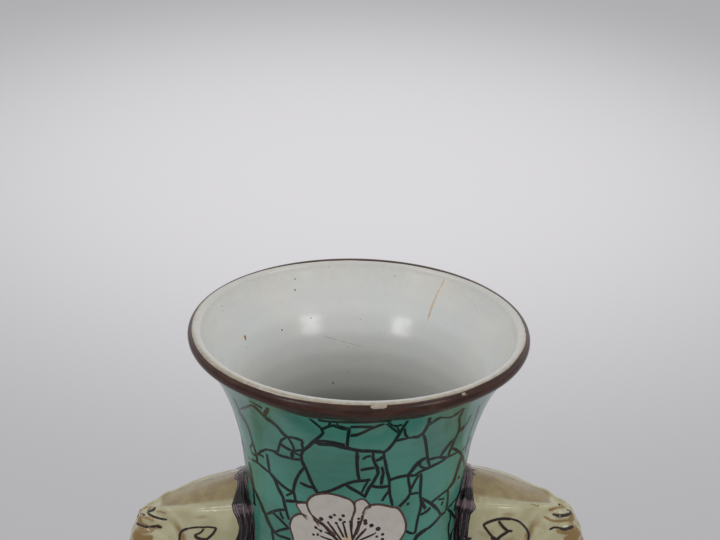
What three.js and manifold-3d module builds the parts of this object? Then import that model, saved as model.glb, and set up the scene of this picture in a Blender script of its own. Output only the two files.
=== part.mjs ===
// A Chinese porcelain baluster vase with a flared mouth and two elephant-head handles on its neck.
//
// The vase is thrown in four sections that are luted together rim to rim: base, belly, shoulder and neck,
// with a rolled, iron-brown lip on top. Each handle is press-moulded in two halves that meet on the centre
// plane, and carries two ears and two tusks. Its forehead and the tip of its trunk are both luted to the
// neck, so that the trunk closes a loop for a finger. The handles are set by eye: the right one sits a
// little higher and further out, and droops less.
//
// Millimetres, +Z up. The origin is the centre of the foot, on the surface that the vase stands on.
// The handles stand out along +X and -X, and -Y is the front.

import * as THREE from "three";
import { mergeVertices } from "three/addons/utils/BufferGeometryUtils.js";
import Module from "manifold-3d";

const wasm = await Module();
wasm.setup();

// Driving dimensions

const CLEARANCE = 0.3; // between a fitted piece and its seat

// The outline of the vase: heights and outer radii of its foot, waist, belly and neck.
const HEIGHT = 450;
const FOOT_R = 66;
const FOOT_TOP_Z = 12;
const WAIST_R = 60;
const WAIST_Z = 50;
const BELLY_R = 106;
const BELLY_Z = 215;
const NECK_R = 51.6;
const NECK_Z = 335;
const MOUTH_R = 80;
const FLARE_SHARPNESS = 3; // how late the neck turns outwards

// How tightly the outline bends between one of those heights and the next.
const FOOT_BEND = 2;
const BODY_BEND = 2;
const SHOULDER_BEND = 2.4;

// The wall and the foot.
const WALL = 5.4;
const FLOOR_THICKNESS = 9;
const RECESS_DEPTH = 7.5; // of the base, inside the foot ring
const FOOT_RING_WIDTH = 8.5;
const FOOT_BEVEL = 1.6;
const FLOOR_CORNER_R = 14;

// The rolled lip.
const LIP_ROLL_R = 3.4;
const LIP_SEAT_DROP = 0.2; // from the bottom of the roll to the seat on the neck

// Where the sections are luted.
const BELLY_JOINT_Z = 96;
const SHOULDER_JOINT_Z = 216;
const NECK_JOINT_Z = 276;

// The handles.
const HEAD_Z = 348.6; // mean height of a head's axis where it leaves the neck
const LEFT_LIFT = -2.6; // how much higher than that each one sits
const RIGHT_LIFT = 2.6;
const LEFT_OUT = 0; // how much further out
const RIGHT_OUT = 1.5;
const LEFT_DROOP = 0; // degrees by which it turns down from the mould's own slope
const RIGHT_DROOP = -4;
const HEAD_REACH = 58.2; // from the neck to the outer face of the trunk
const ROOT_DEPTH = 8; // how far the raw head runs into the neck before it is trimmed
const TIP_DEPTH = 13; // and the raw tip of its trunk
const TRUNK_FOLD_PITCH = 6.2;
const TRUNK_FOLD_DEPTH = 0.9;
const TUSK_R = 3.1;
const TUSK_TIP_R = 0.8;
const EAR_REACH = 2.2; // from the neck to the ear's free edge, along the head's axis
const EAR_EDGE_THICKNESS = 0.8;
const EAR_LOBE_THICKNESS = 3.4;

const ROUND_STEPS = 56; // around the vase
const HEAD_STEPS = 24; // around the head and trunk
const HEAD_STATIONS = 32; // along the head and trunk

// The outline

const LIP_SEAT_Z = HEIGHT - 2 * LIP_ROLL_R - LIP_SEAT_DROP;
const LIP_CENTRE_R = MOUTH_R - LIP_ROLL_R;
const LIP_CENTRE_Z = HEIGHT - LIP_ROLL_R;

// An S from 0 to 1, level at both ends, that is steeper in the middle the tighter it bends.
const bend = (u, tightness) => u ** tightness / (u ** tightness + (1 - u) ** tightness);

// The outer radius of the vase at a height.
function outerR(z) {
  const spans = [
    [FOOT_TOP_Z, FOOT_R, WAIST_Z, WAIST_R, FOOT_BEND],
    [WAIST_Z, WAIST_R, BELLY_Z, BELLY_R, BODY_BEND],
    [BELLY_Z, BELLY_R, NECK_Z, NECK_R, SHOULDER_BEND],
  ];
  if (z <= FOOT_TOP_Z) return FOOT_R;
  for (const [z0, r0, z1, r1, tightness] of spans) {
    if (z <= z1) return r0 + (r1 - r0) * bend((z - z0) / (z1 - z0), tightness);
  }
  const rise = (u) => Math.exp(FLARE_SHARPNESS * u) - 1 - FLARE_SHARPNESS * u;
  return NECK_R + (LIP_CENTRE_R - NECK_R) * (rise((z - NECK_Z) / (LIP_SEAT_Z - NECK_Z)) / rise(1));
}

// The inner radius, one wall's thickness in from the outline, square to it.
function innerR(z) {
  const step = 0.5;
  const slope = (outerR(Math.min(z + step, LIP_SEAT_Z)) - outerR(z - step)) / (2 * step);
  return outerR(z) - WALL * Math.hypot(1, slope);
}

// Heights from low to high, closer together towards high if crowd is over 1.
function heights(low, high, count, crowd = 1) {
  return Array.from({ length: count + 1 }, (_, i) => high - (high - low) * (1 - i / count) ** crowd);
}

// Making solids

function meshOf(name, geometry, colour, roughness) {
  const material = new THREE.MeshStandardMaterial({ color: colour, roughness, metalness: 0 });
  const mesh = new THREE.Mesh(geometry, material);
  mesh.name = name;
  return mesh;
}

// A solid of revolution about Z, from a closed profile of [radius, height] points.
function turned(profile) {
  const points = [...profile, profile[0]].map(([r, z]) => new THREE.Vector2(r, z));
  return new THREE.LatheGeometry(points, ROUND_STEPS).rotateX(Math.PI / 2);
}

function solidOf(geometry) {
  const plain = geometry.index ? geometry.toNonIndexed() : geometry.clone();
  plain.deleteAttribute("normal");
  plain.deleteAttribute("uv");
  const merged = mergeVertices(plain, 1e-4);
  return new wasm.Manifold(
    new wasm.Mesh({
      numProp: 3,
      vertProperties: new Float32Array(merged.attributes.position.array),
      triVerts: new Uint32Array(merged.index.array),
    }),
  );
}

function geometryOf(solid) {
  const mesh = solid.getMesh();
  const geometry = new THREE.BufferGeometry();
  geometry.setAttribute("position", new THREE.BufferAttribute(mesh.vertProperties, 3));
  geometry.setIndex(new THREE.BufferAttribute(mesh.triVerts, 1));
  geometry.computeVertexNormals();
  return geometry;
}

// A closed skin over rings of points that all have the same count, with a fan at each end. The rings may run
// either way round. The faces are turned to point outwards.
function skinned(rings) {
  const around = rings[0].length;
  const points = [...rings.flat(), centreOf(rings[0]), centreOf(rings.at(-1))];
  const faces = [];
  for (let i = 0; i < rings.length - 1; i++) {
    for (let j = 0; j < around; j++) {
      const a = i * around + j;
      const b = i * around + ((j + 1) % around);
      faces.push(a, b, b + around, a, b + around, a + around);
    }
  }
  const last = (rings.length - 1) * around;
  const [start, end] = [points.length - 2, points.length - 1];
  for (let j = 0; j < around; j++) {
    const next = (j + 1) % around;
    faces.push(start, next, j, end, last + j, last + next);
  }
  if (signedVolume(points, faces) < 0) faces.reverse();
  const geometry = new THREE.BufferGeometry().setFromPoints(points);
  geometry.setIndex(faces);
  return geometry;
}

function signedVolume(points, faces) {
  let sum = 0;
  for (let i = 0; i < faces.length; i += 3) {
    const [a, b, c] = faces.slice(i, i + 3).map((k) => points[k]);
    sum += a.dot(new THREE.Vector3().crossVectors(b, c)) / 6;
  }
  return sum;
}

function centreOf(ring) {
  return ring.reduce((sum, p) => sum.add(p), new THREE.Vector3()).divideScalar(ring.length);
}

// The thrown sections

// The heights of each section's facets, outside and inside. Those of the neck crowd together at the flare.
const NECK_OUTSIDE = heights(NECK_JOINT_Z, LIP_SEAT_Z, 14, 1.4);
const NECK_INSIDE = heights(NECK_JOINT_Z, LIP_SEAT_Z, 8, 1.4);
const SHOULDER_OUTSIDE = heights(SHOULDER_JOINT_Z, NECK_JOINT_Z, 7);
const SHOULDER_INSIDE = heights(SHOULDER_JOINT_Z, NECK_JOINT_Z, 4);
const BELLY_OUTSIDE = heights(BELLY_JOINT_Z, SHOULDER_JOINT_Z, 7);
const BELLY_INSIDE = heights(BELLY_JOINT_Z, SHOULDER_JOINT_Z, 4);

// A wall from one lute to the next.
function wallSection(outside, inside) {
  return turned([...outside.map((z) => [outerR(z), z]), ...inside.toReversed().map((z) => [innerR(z), z])]);
}

function baseSection() {
  const ringInner = FOOT_R - FOOT_RING_WIDTH;
  const floorZ = RECESS_DEPTH + FLOOR_THICKNESS;
  const cornerZ = floorZ + FLOOR_CORNER_R;
  const cornerSteps = 3;
  const corner = Array.from({ length: cornerSteps + 1 }, (_, i) => {
    const a = (i / cornerSteps) * (Math.PI / 2);
    return [innerR(cornerZ) - FLOOR_CORNER_R * (1 - Math.cos(a)), cornerZ - FLOOR_CORNER_R * Math.sin(a)];
  });
  return turned([
    [0, RECESS_DEPTH],
    [ringInner - FOOT_BEVEL, RECESS_DEPTH],
    [ringInner, 0],
    [FOOT_R - FOOT_BEVEL, 0],
    [FOOT_R, FOOT_BEVEL],
    ...heights(FOOT_TOP_Z, BELLY_JOINT_Z, 8).map((z) => [outerR(z), z]),
    ...heights(cornerZ, BELLY_JOINT_Z, 3)
      .reverse()
      .map((z) => [innerR(z), z]),
    ...corner.slice(1),
    [0, floorZ],
  ]);
}

// The roll, and the short slope inside it that carries on the neck's flare up to its crest.
function lipRing() {
  const rollSteps = 8;
  const start = (140 * Math.PI) / 180; // where the inner slope meets the roll
  const end = (-80 * Math.PI) / 180; // where the roll meets its seat
  const roll = Array.from({ length: rollSteps + 1 }, (_, i) => {
    const a = end + ((start - end) * i) / rollSteps;
    return [LIP_CENTRE_R + LIP_ROLL_R * Math.cos(a), LIP_CENTRE_Z + LIP_ROLL_R * Math.sin(a)];
  });
  return turned([[outerR(LIP_SEAT_Z), LIP_SEAT_Z], ...roll, [innerR(LIP_SEAT_Z), LIP_SEAT_Z]]);
}

// The elephant heads

// The table of the head is drawn for a reach of 58.2 mm, and everything in it grows with the reach.
const HEAD_SCALE = HEAD_REACH / 58.2;

// The head and trunk are a skin over cross-sections that follow a curved spine. Each station of the spine
// gives where its centre lies, out from the neck and up from the head's axis, then its half heights above
// and below the centre and its half width. The last four numbers set the section's shape: how far out the
// brow edge lies, as a share of the half width, how far it drops from the top, as a share of the half height,
// how high the widest point lies and how far out the jaw lies, both as shares of the half width. The root
// and the tip lie inside the neck, at their own depths.
const HEAD_SHAPE = [
  { out: "root", up: 3, above: 22.5, below: 21, side: 22, brow: 0.96, drop: 0.46, widest: -0.3, jaw: 0.7 },
  { out: 8, up: -0.5, above: 20.5, below: 20, side: 19.5, brow: 0.94, drop: 0.39, widest: -0.25, jaw: 0.74 },
  { out: 24, up: -5.5, above: 17.5, below: 17, side: 16, brow: 0.8, drop: 0.24, widest: -0.2, jaw: 0.76 },
  { out: 37, up: -11.5, above: 16, below: 14, side: 12.5, brow: 0.55, drop: 0.13, widest: -0.1, jaw: 0.74 },
  { out: 48, up: -23, above: 11, below: 10.8, side: 10.4, brow: 0.66, drop: 0.22, widest: 0, jaw: 0.72 },
  { out: 49, up: -37.5, above: 9.2, below: 9, side: 9, brow: 0.71, drop: 0.29, widest: 0, jaw: 0.71 },
  { out: 39, up: -51, above: 8, below: 7.8, side: 7.8, brow: 0.71, drop: 0.29, widest: 0, jaw: 0.71 },
  { out: 22, up: -56, above: 6.9, below: 6.7, side: 6.7, brow: 0.71, drop: 0.29, widest: 0, jaw: 0.71 },
  { out: "tip", up: -55, above: 6.2, below: 6, side: 6.2, brow: 0.71, drop: 0.29, widest: 0, jaw: 0.71 },
];
const JAW_HEIGHT = 0.72; // of the jaw below the centre, as a share of the half height below
const TRUNK_START_T = 0.37; // where the forehead ends and the folds of the trunk begin

// One press-moulded head, set on the neck at a height, a distance out and a droop.
class Head {
  constructor({ lift, out, droop }) {
    this.z = HEAD_Z + lift;
    this.x = outerR(this.z) + out;
    this.droop = (droop * Math.PI) / 180;
    const tipR = outerR(this.z + HEAD_SCALE * HEAD_SHAPE.at(-1).up);
    this.stations = HEAD_SHAPE.map((s) => ({ ...s }));
    this.stations.at(0).out = -ROOT_DEPTH / HEAD_SCALE;
    this.stations.at(-1).out = (tipR - TIP_DEPTH - outerR(this.z)) / HEAD_SCALE;
    const samples = Array.from({ length: 201 }, (_, i) => this.shapeAt(i / 200));
    this.lengths = [0];
    for (let i = 1; i < samples.length; i++) {
      const [p, q] = [samples[i - 1], samples[i]];
      this.lengths.push(this.lengths.at(-1) + Math.hypot(p.out - q.out, p.up - q.up));
    }
  }

  // The shape at t, from 0 at the head's root to 1 at the trunk's tip, on a curve through the stations.
  shapeAt(t) {
    const last = this.stations.length - 1;
    const i = Math.min(Math.floor(t * last), last - 1);
    const near = [-1, 0, 1, 2].map((k) => this.stations[Math.min(Math.max(i + k, 0), last)]);
    const mixed = (key) => catmullRom(near.map((s) => s[key]), t * last - i);
    return Object.fromEntries(Object.keys(near[0]).map((key) => [key, mixed(key)]));
  }

  // How far along the trunk t lies, counted from its first fold.
  trunkLength(t) {
    return HEAD_SCALE * (this.lengths[Math.round(t * 200)] - this.lengths[Math.round(TRUNK_START_T * 200)]);
  }

  // A point on the head or trunk, at t along it and a share of a turn from the top. extra moves it outwards.
  point(t, turn, extra = 0) {
    const s = this.shapeAt(t);
    const [before, after] = [this.shapeAt(Math.max(t - 0.01, 0)), this.shapeAt(Math.min(t + 0.01, 1))];
    const along = new THREE.Vector2(after.out - before.out, after.up - before.up).normalize();
    const [across, up] = sectionPoint(s, turn, (extra + this.relief(t, turn)) / HEAD_SCALE);
    return this.placed(s.out - along.y * up, across, s.up + along.x * up);
  }

  // A point of the table, out from the neck, across the head and up from its axis, where the head is set.
  placed(...point) {
    const [out, across, up] = point.map((v) => v * HEAD_SCALE);
    const [c, s] = [Math.cos(this.droop), Math.sin(this.droop)];
    return new THREE.Vector3(this.x + c * out + s * up, across, this.z - s * out + c * up);
  }

  // How far the modelled surface stands out from the plain section.
  relief(t, turn) {
    const side = Math.min(turn, 1 - turn) * 360;
    const brow = 1.2 * hump(t, 0.22, 0.08) * hump(side, 50, 13);
    const eyeball = 1.5 * hump(t, 0.22, 0.045) * hump(side, 80, 16);
    const eyeHollow = -1.3 * hump(t, 0.31, 0.04) * hump(side, 78, 26);
    const cheek = 2 * hump(t, 0.17, 0.07) * hump(side, 132, 22);
    const along = this.trunkLength(t);
    const fold = Math.abs(Math.cos((Math.PI * along) / TRUNK_FOLD_PITCH)) - 0.6;
    const fade = Math.min(1, Math.max(0, along / 8)) * Math.min(1, (1 - t) * 6);
    const outerSide = 0.55 + 0.45 * Math.cos((side * Math.PI) / 180);
    return brow + eyeball + eyeHollow + cheek + TRUNK_FOLD_DEPTH * fold * fade * outerSide;
  }

  // The whole skin of the head and trunk, grown outwards by extra.
  solid(extra = 0) {
    const turns = Array.from({ length: HEAD_STEPS }, (_, j) => j / HEAD_STEPS);
    const ts = Array.from({ length: HEAD_STATIONS + 1 }, (_, i) => i / HEAD_STATIONS);
    const skin = skinned(ts.map((t) => turns.map((turn) => this.point(t, turn, extra))));
    return solidOf(skin).add(solidOf(this.lowerLip((2 * extra) / HEAD_SCALE)));
  }

  // The pointed lower lip, under the root of the trunk.
  lowerLip(extra) {
    const steps = 12;
    const sizes = [
      { out: 12, up: -17, high: 7, side: 11 },
      { out: 22, up: -21.5, high: 5.5, side: 8.5 },
      { out: 29, up: -26, high: 3.6, side: 5.5 },
      { out: 33, up: -30, high: 1.4, side: 2 },
    ];
    const around = Array.from({ length: steps }, (_, j) => (j / steps) * 2 * Math.PI);
    return skinned(
      sizes.map(({ out, up, high, side }) =>
        around.map((a) => {
          const rise = (high + extra) * Math.cos(a);
          return this.placed(out + 0.5 * rise, (side + extra) * Math.sin(a), up + rise);
        }),
      ),
    );
  }

  // An ear: a lobe that hangs from the top of the head down one side, against the neck. Its free edge runs
  // out in two locks and flares towards its lower end, and it is thickest half way down.
  ear(side) {
    const [steps, stepsOut, top, end] = [12, 4, 0.004, 0.4];
    const firstSpan = ROOT_DEPTH + HEAD_SCALE * HEAD_SHAPE[1].out;
    const reachT = (ROOT_DEPTH + EAR_REACH) / firstSpan / (this.stations.length - 1);
    const rings = [];
    for (let j = 0; j <= steps; j++) {
      const share = j / steps;
      const turn = side * (top + (end - top) * share);
      const reach = reachT * (0.88 + 0.12 * Math.abs(Math.cos(2 * Math.PI * share)) + 0.5 * share ** 3);
      const outer = [];
      const inner = [];
      for (let i = 0; i <= stepsOut; i++) {
        const u = i / stepsOut;
        const lobe = Math.sin(Math.PI * share) * (1 - u * u);
        const thickness = EAR_EDGE_THICKNESS + (EAR_LOBE_THICKNESS - EAR_EDGE_THICKNESS) * lobe;
        outer.push(this.point(reach * u, (turn + 1) % 1, CLEARANCE + thickness));
        inner.unshift(this.point(reach * u, (turn + 1) % 1, CLEARANCE));
      }
      rings.push([...outer, ...inner]);
    }
    return solidOf(skinned(rings));
  }

  // A tusk: a bent cone, out of the cheek and forward beside the trunk.
  tusk(side) {
    const steps = 8;
    const path = new THREE.QuadraticBezierCurve3(
      this.placed(22, side * 9, -20),
      this.placed(40, side * 17, -32),
      this.placed(55, side * 16.5, -25),
    );
    const rings = Array.from({ length: steps + 1 }, (_, i) => {
      const t = i / steps;
      const along = path.getTangent(t);
      const across = new THREE.Vector3(0, 1, 0).addScaledVector(along, -along.y).normalize();
      const up = new THREE.Vector3().crossVectors(across, along);
      const r = TUSK_R + (TUSK_TIP_R - TUSK_R) * t ** 1.4;
      return Array.from({ length: 10 }, (_, j) => {
        const a = (j / 10) * 2 * Math.PI;
        return path.getPoint(t).addScaledVector(across, r * Math.cos(a)).addScaledVector(up, r * Math.sin(a));
      });
    });
    return solidOf(skinned(rings));
  }
}

// The value at u between the middle two of four.
function catmullRom([a, b, c, d], u) {
  return 0.5 * (2 * b + (c - a) * u + (2 * a - 5 * b + 4 * c - d) * u * u + (3 * b - a - 3 * c + d) * u ** 3);
}

// A cross-section as [across, up], at a share of a turn from the top: a closed Catmull-Rom curve through the
// top, brow, widest point, jaw and bottom, and the same again on the other side. extra moves it outwards.
function sectionPoint({ above, below, side, brow, drop, widest, jaw }, turn, extra) {
  const half = [
    [brow * side, above * (1 - drop)],
    [side, widest * side],
    [jaw * side, -JAW_HEIGHT * below],
  ];
  const points = [[0, above], ...half, [0, -below], ...half.reverse().map(([across, up]) => [-across, up])];
  const at = (v) => {
    const k = (((v % 1) + 1) % 1) * points.length;
    const near = [-1, 0, 1, 2].map((n) => points[(Math.floor(k) + n + points.length) % points.length]);
    return [0, 1].map((axis) => catmullRom(near.map((p) => p[axis]), k % 1));
  };
  const [p, q, here] = [at(turn - 0.01), at(turn + 0.01), at(turn)];
  const outwards = new THREE.Vector2(p[1] - q[1], q[0] - p[0]).normalize().multiplyScalar(extra);
  return [here[0] + outwards.x, here[1] + outwards.y];
}

// A hump of height 1 at centre that falls to nothing over width on either side.
function hump(value, centre, width) {
  return Math.exp(-(((value - centre) / width) ** 2));
}

// What the neck and shoulder take away from a fitted piece: their facets and the clearance round them.
function neckCutter() {
  const profile = [...SHOULDER_OUTSIDE, ...NECK_OUTSIDE.slice(1)].map((z) => [outerR(z) + CLEARANCE, z]);
  return solidOf(turned([[0, SHOULDER_JOINT_Z], ...profile, [0, LIP_SEAT_Z]]));
}

// A half space on the front, at y below 0, or on the back.
function halfSpace(side) {
  const size = 2 * HEIGHT;
  return solidOf(new THREE.BoxGeometry(size, size, size).translate(0, (side * size) / 2, 0));
}

// Assembly

const YELLOW = 0xc2ba8c;
const AUBERGINE = 0x3f2f38;
const IVORY = 0xddd6c4;
const GREEN = 0x4f8a78;
const BROWN = 0x4a322b;

// One handle, made on the +X side, as [name, solid, colour] rows. front is the side of it, along Y, that is
// at the front once the handle is turned into place.
function handlePieces({ front, ...setting }) {
  const neck = neckCutter();
  const head = new Head(setting);
  const trimmed = head.solid().subtract(neck);
  const grown = head.solid(CLEARANCE);
  return [["front", front], ["back", -front]].flatMap(([word, side]) => [
    [`head_${word}`, trimmed.intersect(halfSpace(side)), YELLOW],
    [`ear_${word}`, head.ear(side).subtract(neck), AUBERGINE],
    [`tusk_${word}`, head.tusk(side).subtract(grown), IVORY],
  ]);
}

const vase = new THREE.Group();
vase.add(
  meshOf("base_section", baseSection(), GREEN, 0.25),
  meshOf("belly_section", wallSection(BELLY_OUTSIDE, BELLY_INSIDE), GREEN, 0.25),
  meshOf("shoulder_section", wallSection(SHOULDER_OUTSIDE, SHOULDER_INSIDE), GREEN, 0.25),
  meshOf("neck_section", wallSection(NECK_OUTSIDE, NECK_INSIDE), GREEN, 0.25),
  meshOf("mouth_lip", lipRing(), BROWN, 0.35),
);

const settings = [
  ["right", 0, { front: -1, lift: RIGHT_LIFT, out: RIGHT_OUT, droop: RIGHT_DROOP }],
  ["left", Math.PI, { front: 1, lift: LEFT_LIFT, out: LEFT_OUT, droop: LEFT_DROOP }],
];
for (const [word, turn, setting] of settings) {
  const handle = new THREE.Group();
  handle.rotation.z = turn;
  for (const [name, solid, colour] of handlePieces(setting)) {
    handle.add(meshOf(`${word}_${name}`, geometryOf(solid), colour, 0.3));
  }
  vase.add(handle);
}

export default vase;
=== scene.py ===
# %% [markdown]
# A baluster vase of Chinese porcelain, enamelled with cracked ice and plum blossom
#
# The vase is thrown, so nearly all of it is one line turned round an axis. What makes it look made by hand
# lies on that line and beside it: black lines drawn with a brush under green enamel, white blossom, a brown
# rolled lip with two chips, and two press-moulded elephant heads that are set by eye.
#
# Lengths in the cells are millimetres until a mesh is made, and the origin is the centre of the foot.

import bpy
import numpy as np
from mathutils import Matrix, Vector
from mathutils.geometry import delaunay_2d_cdt


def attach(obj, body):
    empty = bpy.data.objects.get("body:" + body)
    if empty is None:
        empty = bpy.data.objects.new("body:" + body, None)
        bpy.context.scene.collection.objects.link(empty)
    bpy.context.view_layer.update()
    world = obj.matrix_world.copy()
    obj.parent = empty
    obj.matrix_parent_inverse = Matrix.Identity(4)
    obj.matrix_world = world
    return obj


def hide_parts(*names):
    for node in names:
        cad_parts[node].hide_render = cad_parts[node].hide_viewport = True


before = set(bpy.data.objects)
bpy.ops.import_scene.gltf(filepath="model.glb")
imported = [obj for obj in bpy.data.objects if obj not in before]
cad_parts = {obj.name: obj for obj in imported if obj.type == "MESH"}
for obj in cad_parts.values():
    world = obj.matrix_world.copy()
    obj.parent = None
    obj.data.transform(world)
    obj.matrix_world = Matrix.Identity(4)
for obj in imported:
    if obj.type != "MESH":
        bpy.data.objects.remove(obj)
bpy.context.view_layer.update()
MM = 0.001
print("nodes in the frame:", len(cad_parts))

# %% [markdown]
# The camera comes first, because strokes of the brush are placed by where the photograph shows them.
#
# It looks down at the mouth from the front. Its place, its slight roll and its long lens were found from the
# ellipse of the mouth, the two sides of the neck and the tops of the two heads.

# %% The camera
IMAGE_W, IMAGE_H = 720, 540
CAMERA_TARGET = np.array([-0.39, 0.0, 478.9])
CAMERA_DISTANCE = 900.0
CAMERA_ELEVATION = np.radians(24.46)
CAMERA_ROLL = np.radians(1.66)
CAMERA_FOCUS = 1949.5  # in pixels
SENSOR_W = 36.0

forward = np.array([0.0, np.cos(CAMERA_ELEVATION), -np.sin(CAMERA_ELEVATION)])
level_right = np.array([1.0, 0.0, 0.0])
level_up = np.cross(level_right, forward)
roll_c, roll_s = np.cos(CAMERA_ROLL), np.sin(CAMERA_ROLL)
view_right = roll_c * level_right + roll_s * level_up
view_up = roll_c * level_up - roll_s * level_right
camera_at = CAMERA_TARGET - CAMERA_DISTANCE * forward

camera = bpy.data.objects.new("camera", bpy.data.cameras.new("camera"))
camera.data.sensor_width = SENSOR_W
camera.data.lens = CAMERA_FOCUS * SENSOR_W / IMAGE_W
camera.data.clip_start = 0.01
camera.data.clip_end = 50
camera.matrix_world = Matrix(
    [[*row, place * MM] for row, place in zip(np.stack([view_right, view_up, -forward], 1), camera_at)] + [[0, 0, 0, 1]]
)
bpy.context.scene.collection.objects.link(camera)
bpy.context.scene.camera = camera


def pixel_of(points):
    """Where the camera sees points: the focus times the offset along the view's right or up, over the depth,
    counted from the middle of the image, with rows running down."""
    offset = points - camera_at
    depth = offset @ forward
    across = IMAGE_W / 2 + CAMERA_FOCUS * (offset @ view_right) / depth
    down = IMAGE_H / 2 - CAMERA_FOCUS * (offset @ view_up) / depth
    return np.stack([across, down], -1)


print("lens in mm:", round(camera.data.lens, 2))

# %% [markdown]
# A painted surface is a skin: one function that turns two numbers into a point. The wall takes an angle from
# the front and a height, and a head takes a share of its length and a share of a turn.
#
# Everything that is painted on a skin follows from its slopes. They give the outward direction, they turn a
# step in millimetres into a step of the two numbers, and they find the spot that a pixel shows.


# %% Skins
class Skin:
    """A surface given by one function of two numbers."""

    def __init__(self, point, nudge, outwards=1):
        self.point = point
        self.nudge = np.array(nudge)
        self.outwards = outwards
        self.nets = {}

    def slopes(self, pairs):
        """The point at each pair of numbers and how it moves with either: the difference between two points,
        one nudge to each side, over twice the nudge."""
        (a, b), (da, db) = pairs.T, self.nudge
        along_a = (self.point(a + da, b) - self.point(a - da, b)) / (2 * da)
        along_b = (self.point(a, b + db) - self.point(a, b - db)) / (2 * db)
        return self.point(a, b), along_a, along_b

    def normal(self, pairs):
        """The outward direction: the cross product of the two slopes, made one long."""
        _, along_a, along_b = self.slopes(pairs)
        across = np.cross(along_a, along_b) * self.outwards
        return across / np.linalg.norm(across, axis=-1, keepdims=True)

    def lifted(self, pairs, lift):
        """Points that stand out from the surface by a lift."""
        return self.point(*pairs.T) + np.reshape(lift, (-1, 1)) * self.normal(pairs)

    def stepped(self, pairs, step):
        """The pairs of numbers after a small step in millimetres: the shares of the two slopes that come
        closest to the step."""
        _, p, q = self.slopes(pairs)
        pp, pq, qq = (p * p).sum(-1), (p * q).sum(-1), (q * q).sum(-1)
        ps, qs = (p * step).sum(-1), (q * step).sum(-1)
        scale = pp * qq - pq * pq
        return pairs + np.stack([qq * ps - pq * qs, pp * qs - pq * ps], -1) / scale[:, None]

    def net(self, low, high):
        """Pairs of numbers spread between low and high whose points face the camera, and their pixels."""
        if (low, high) not in self.nets:
            net = np.stack(np.meshgrid(np.linspace(low[0], high[0], 90), np.linspace(low[1], high[1], 90)), -1)
            net = net.reshape(-1, 2)
            net = net[((camera_at - self.point(*net.T)) * self.normal(net)).sum(-1) > 0]
            self.nets[low, high] = net, pixel_of(self.point(*net.T))
        return self.nets[low, high]

    def seen(self, pixels, low, high, rounds=10):
        """The pairs of numbers that the camera sees at pixels. It starts from the nearest point of a net that
        faces the camera, and then each round steps by the pixels still missing."""
        net, at = self.net(low, high)
        pixels = np.asarray(pixels, float)
        pairs = net[((pixels[:, None] - at[None]) ** 2).sum(-1).argmin(1)].copy()
        for _ in range(rounds):
            (a, b), (da, db) = pairs.T, self.nudge
            here = pixel_of(self.point(a, b))
            p = (pixel_of(self.point(a + da, b)) - here) / da
            q = (pixel_of(self.point(a, b + db)) - here) / db
            miss = pixels - here
            scale = p[:, 0] * q[:, 1] - p[:, 1] * q[:, 0]
            scale = np.where(np.abs(scale) < 1e-6, 1e-6, scale)
            step_a = (miss[:, 0] * q[:, 1] - miss[:, 1] * q[:, 0]) / scale
            step_b = (p[:, 0] * miss[:, 1] - p[:, 1] * miss[:, 0]) / scale
            reach = 0.1 * (np.array(high) - np.array(low))
            pairs = pairs + np.clip(np.stack([step_a, step_b], -1), -reach, reach)
            pairs = np.clip(pairs, low, high)
        return pairs


# %% [markdown]
# The outline of the vase is the one that the solids were built on: a foot, a waist, a belly, a narrow neck
# and a mouth that flares later and later. Four thrown sections are luted together, and on the real vase the
# lutes show only as faint swellings under the glaze, so here one wall stands for all four.

# %% The outline
FOOT_R, FOOT_TOP_Z = 66.0, 12.0
WAIST_R, WAIST_Z = 60.0, 50.0
BELLY_R, BELLY_Z = 106.0, 215.0
NECK_R, NECK_Z = 51.6, 335.0
LIP_SEAT_Z, LIP_CENTRE_R, LIP_CENTRE_Z, LIP_ROLL_R = 443.0, 76.6, 446.6, 3.4
FLARE_SHARPNESS = 3.0
WALL = 5.4
LUTES = (96.0, 216.0, 276.0)
LUTE_SWELL, LUTE_W = 0.22, 7.0


def bend(share, tightness):
    """An S from 0 to 1: a power of the share, over that power plus the same power of what is left."""
    share = np.clip(share, 0, 1)
    return share**tightness / (share**tightness + (1 - share) ** tightness)


def hump(value, centre, width):
    """A hump of height 1: e to minus the square of the distance from the centre, counted in widths."""
    return np.exp(-(((value - centre) / width) ** 2))


def plain_r(z):
    """The outer radius: three S bends from foot to neck, then an exponential rise up to the lip."""
    rise = lambda u: np.exp(FLARE_SHARPNESS * u) - 1 - FLARE_SHARPNESS * u
    spans = [
        FOOT_R + (WAIST_R - FOOT_R) * bend((z - FOOT_TOP_Z) / (WAIST_Z - FOOT_TOP_Z), 2),
        WAIST_R + (BELLY_R - WAIST_R) * bend((z - WAIST_Z) / (BELLY_Z - WAIST_Z), 2),
        BELLY_R + (NECK_R - BELLY_R) * bend((z - BELLY_Z) / (NECK_Z - BELLY_Z), 2.4),
        NECK_R + (LIP_CENTRE_R - NECK_R) * rise(np.maximum(z - NECK_Z, 0) / (LIP_SEAT_Z - NECK_Z)) / rise(1),
    ]
    return np.select([z <= WAIST_Z, z <= BELLY_Z, z <= NECK_Z], spans[:3], spans[3])


def wall_r(z):
    """The outer radius with a faint swelling at each lute."""
    z = np.asarray(z, float)
    return plain_r(z) + LUTE_SWELL * sum(hump(z, lute, LUTE_W) for lute in LUTES)


def hollow_r(z):
    """The inner radius: the plain one less the wall, measured square to the outline, with the ridges that
    the potter's fingers leave."""
    z = np.asarray(z, float)
    low = np.minimum(z, 440.0)
    slope = plain_r(low + 0.5) - plain_r(low - 0.5)
    radius = plain_r(low) - WALL * np.hypot(1, slope) + 0.05 * np.sin(2 * np.pi * low / 9.3 + 2 * np.sin(low / 37))
    over = np.maximum(z - 440.0, 0)
    return radius + 0.71 * over + 0.0051 * over**2


RIM_RISE, RISE_FROM_Z, RISE_SPAN = 0.7, 441.0, 9.0


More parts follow.
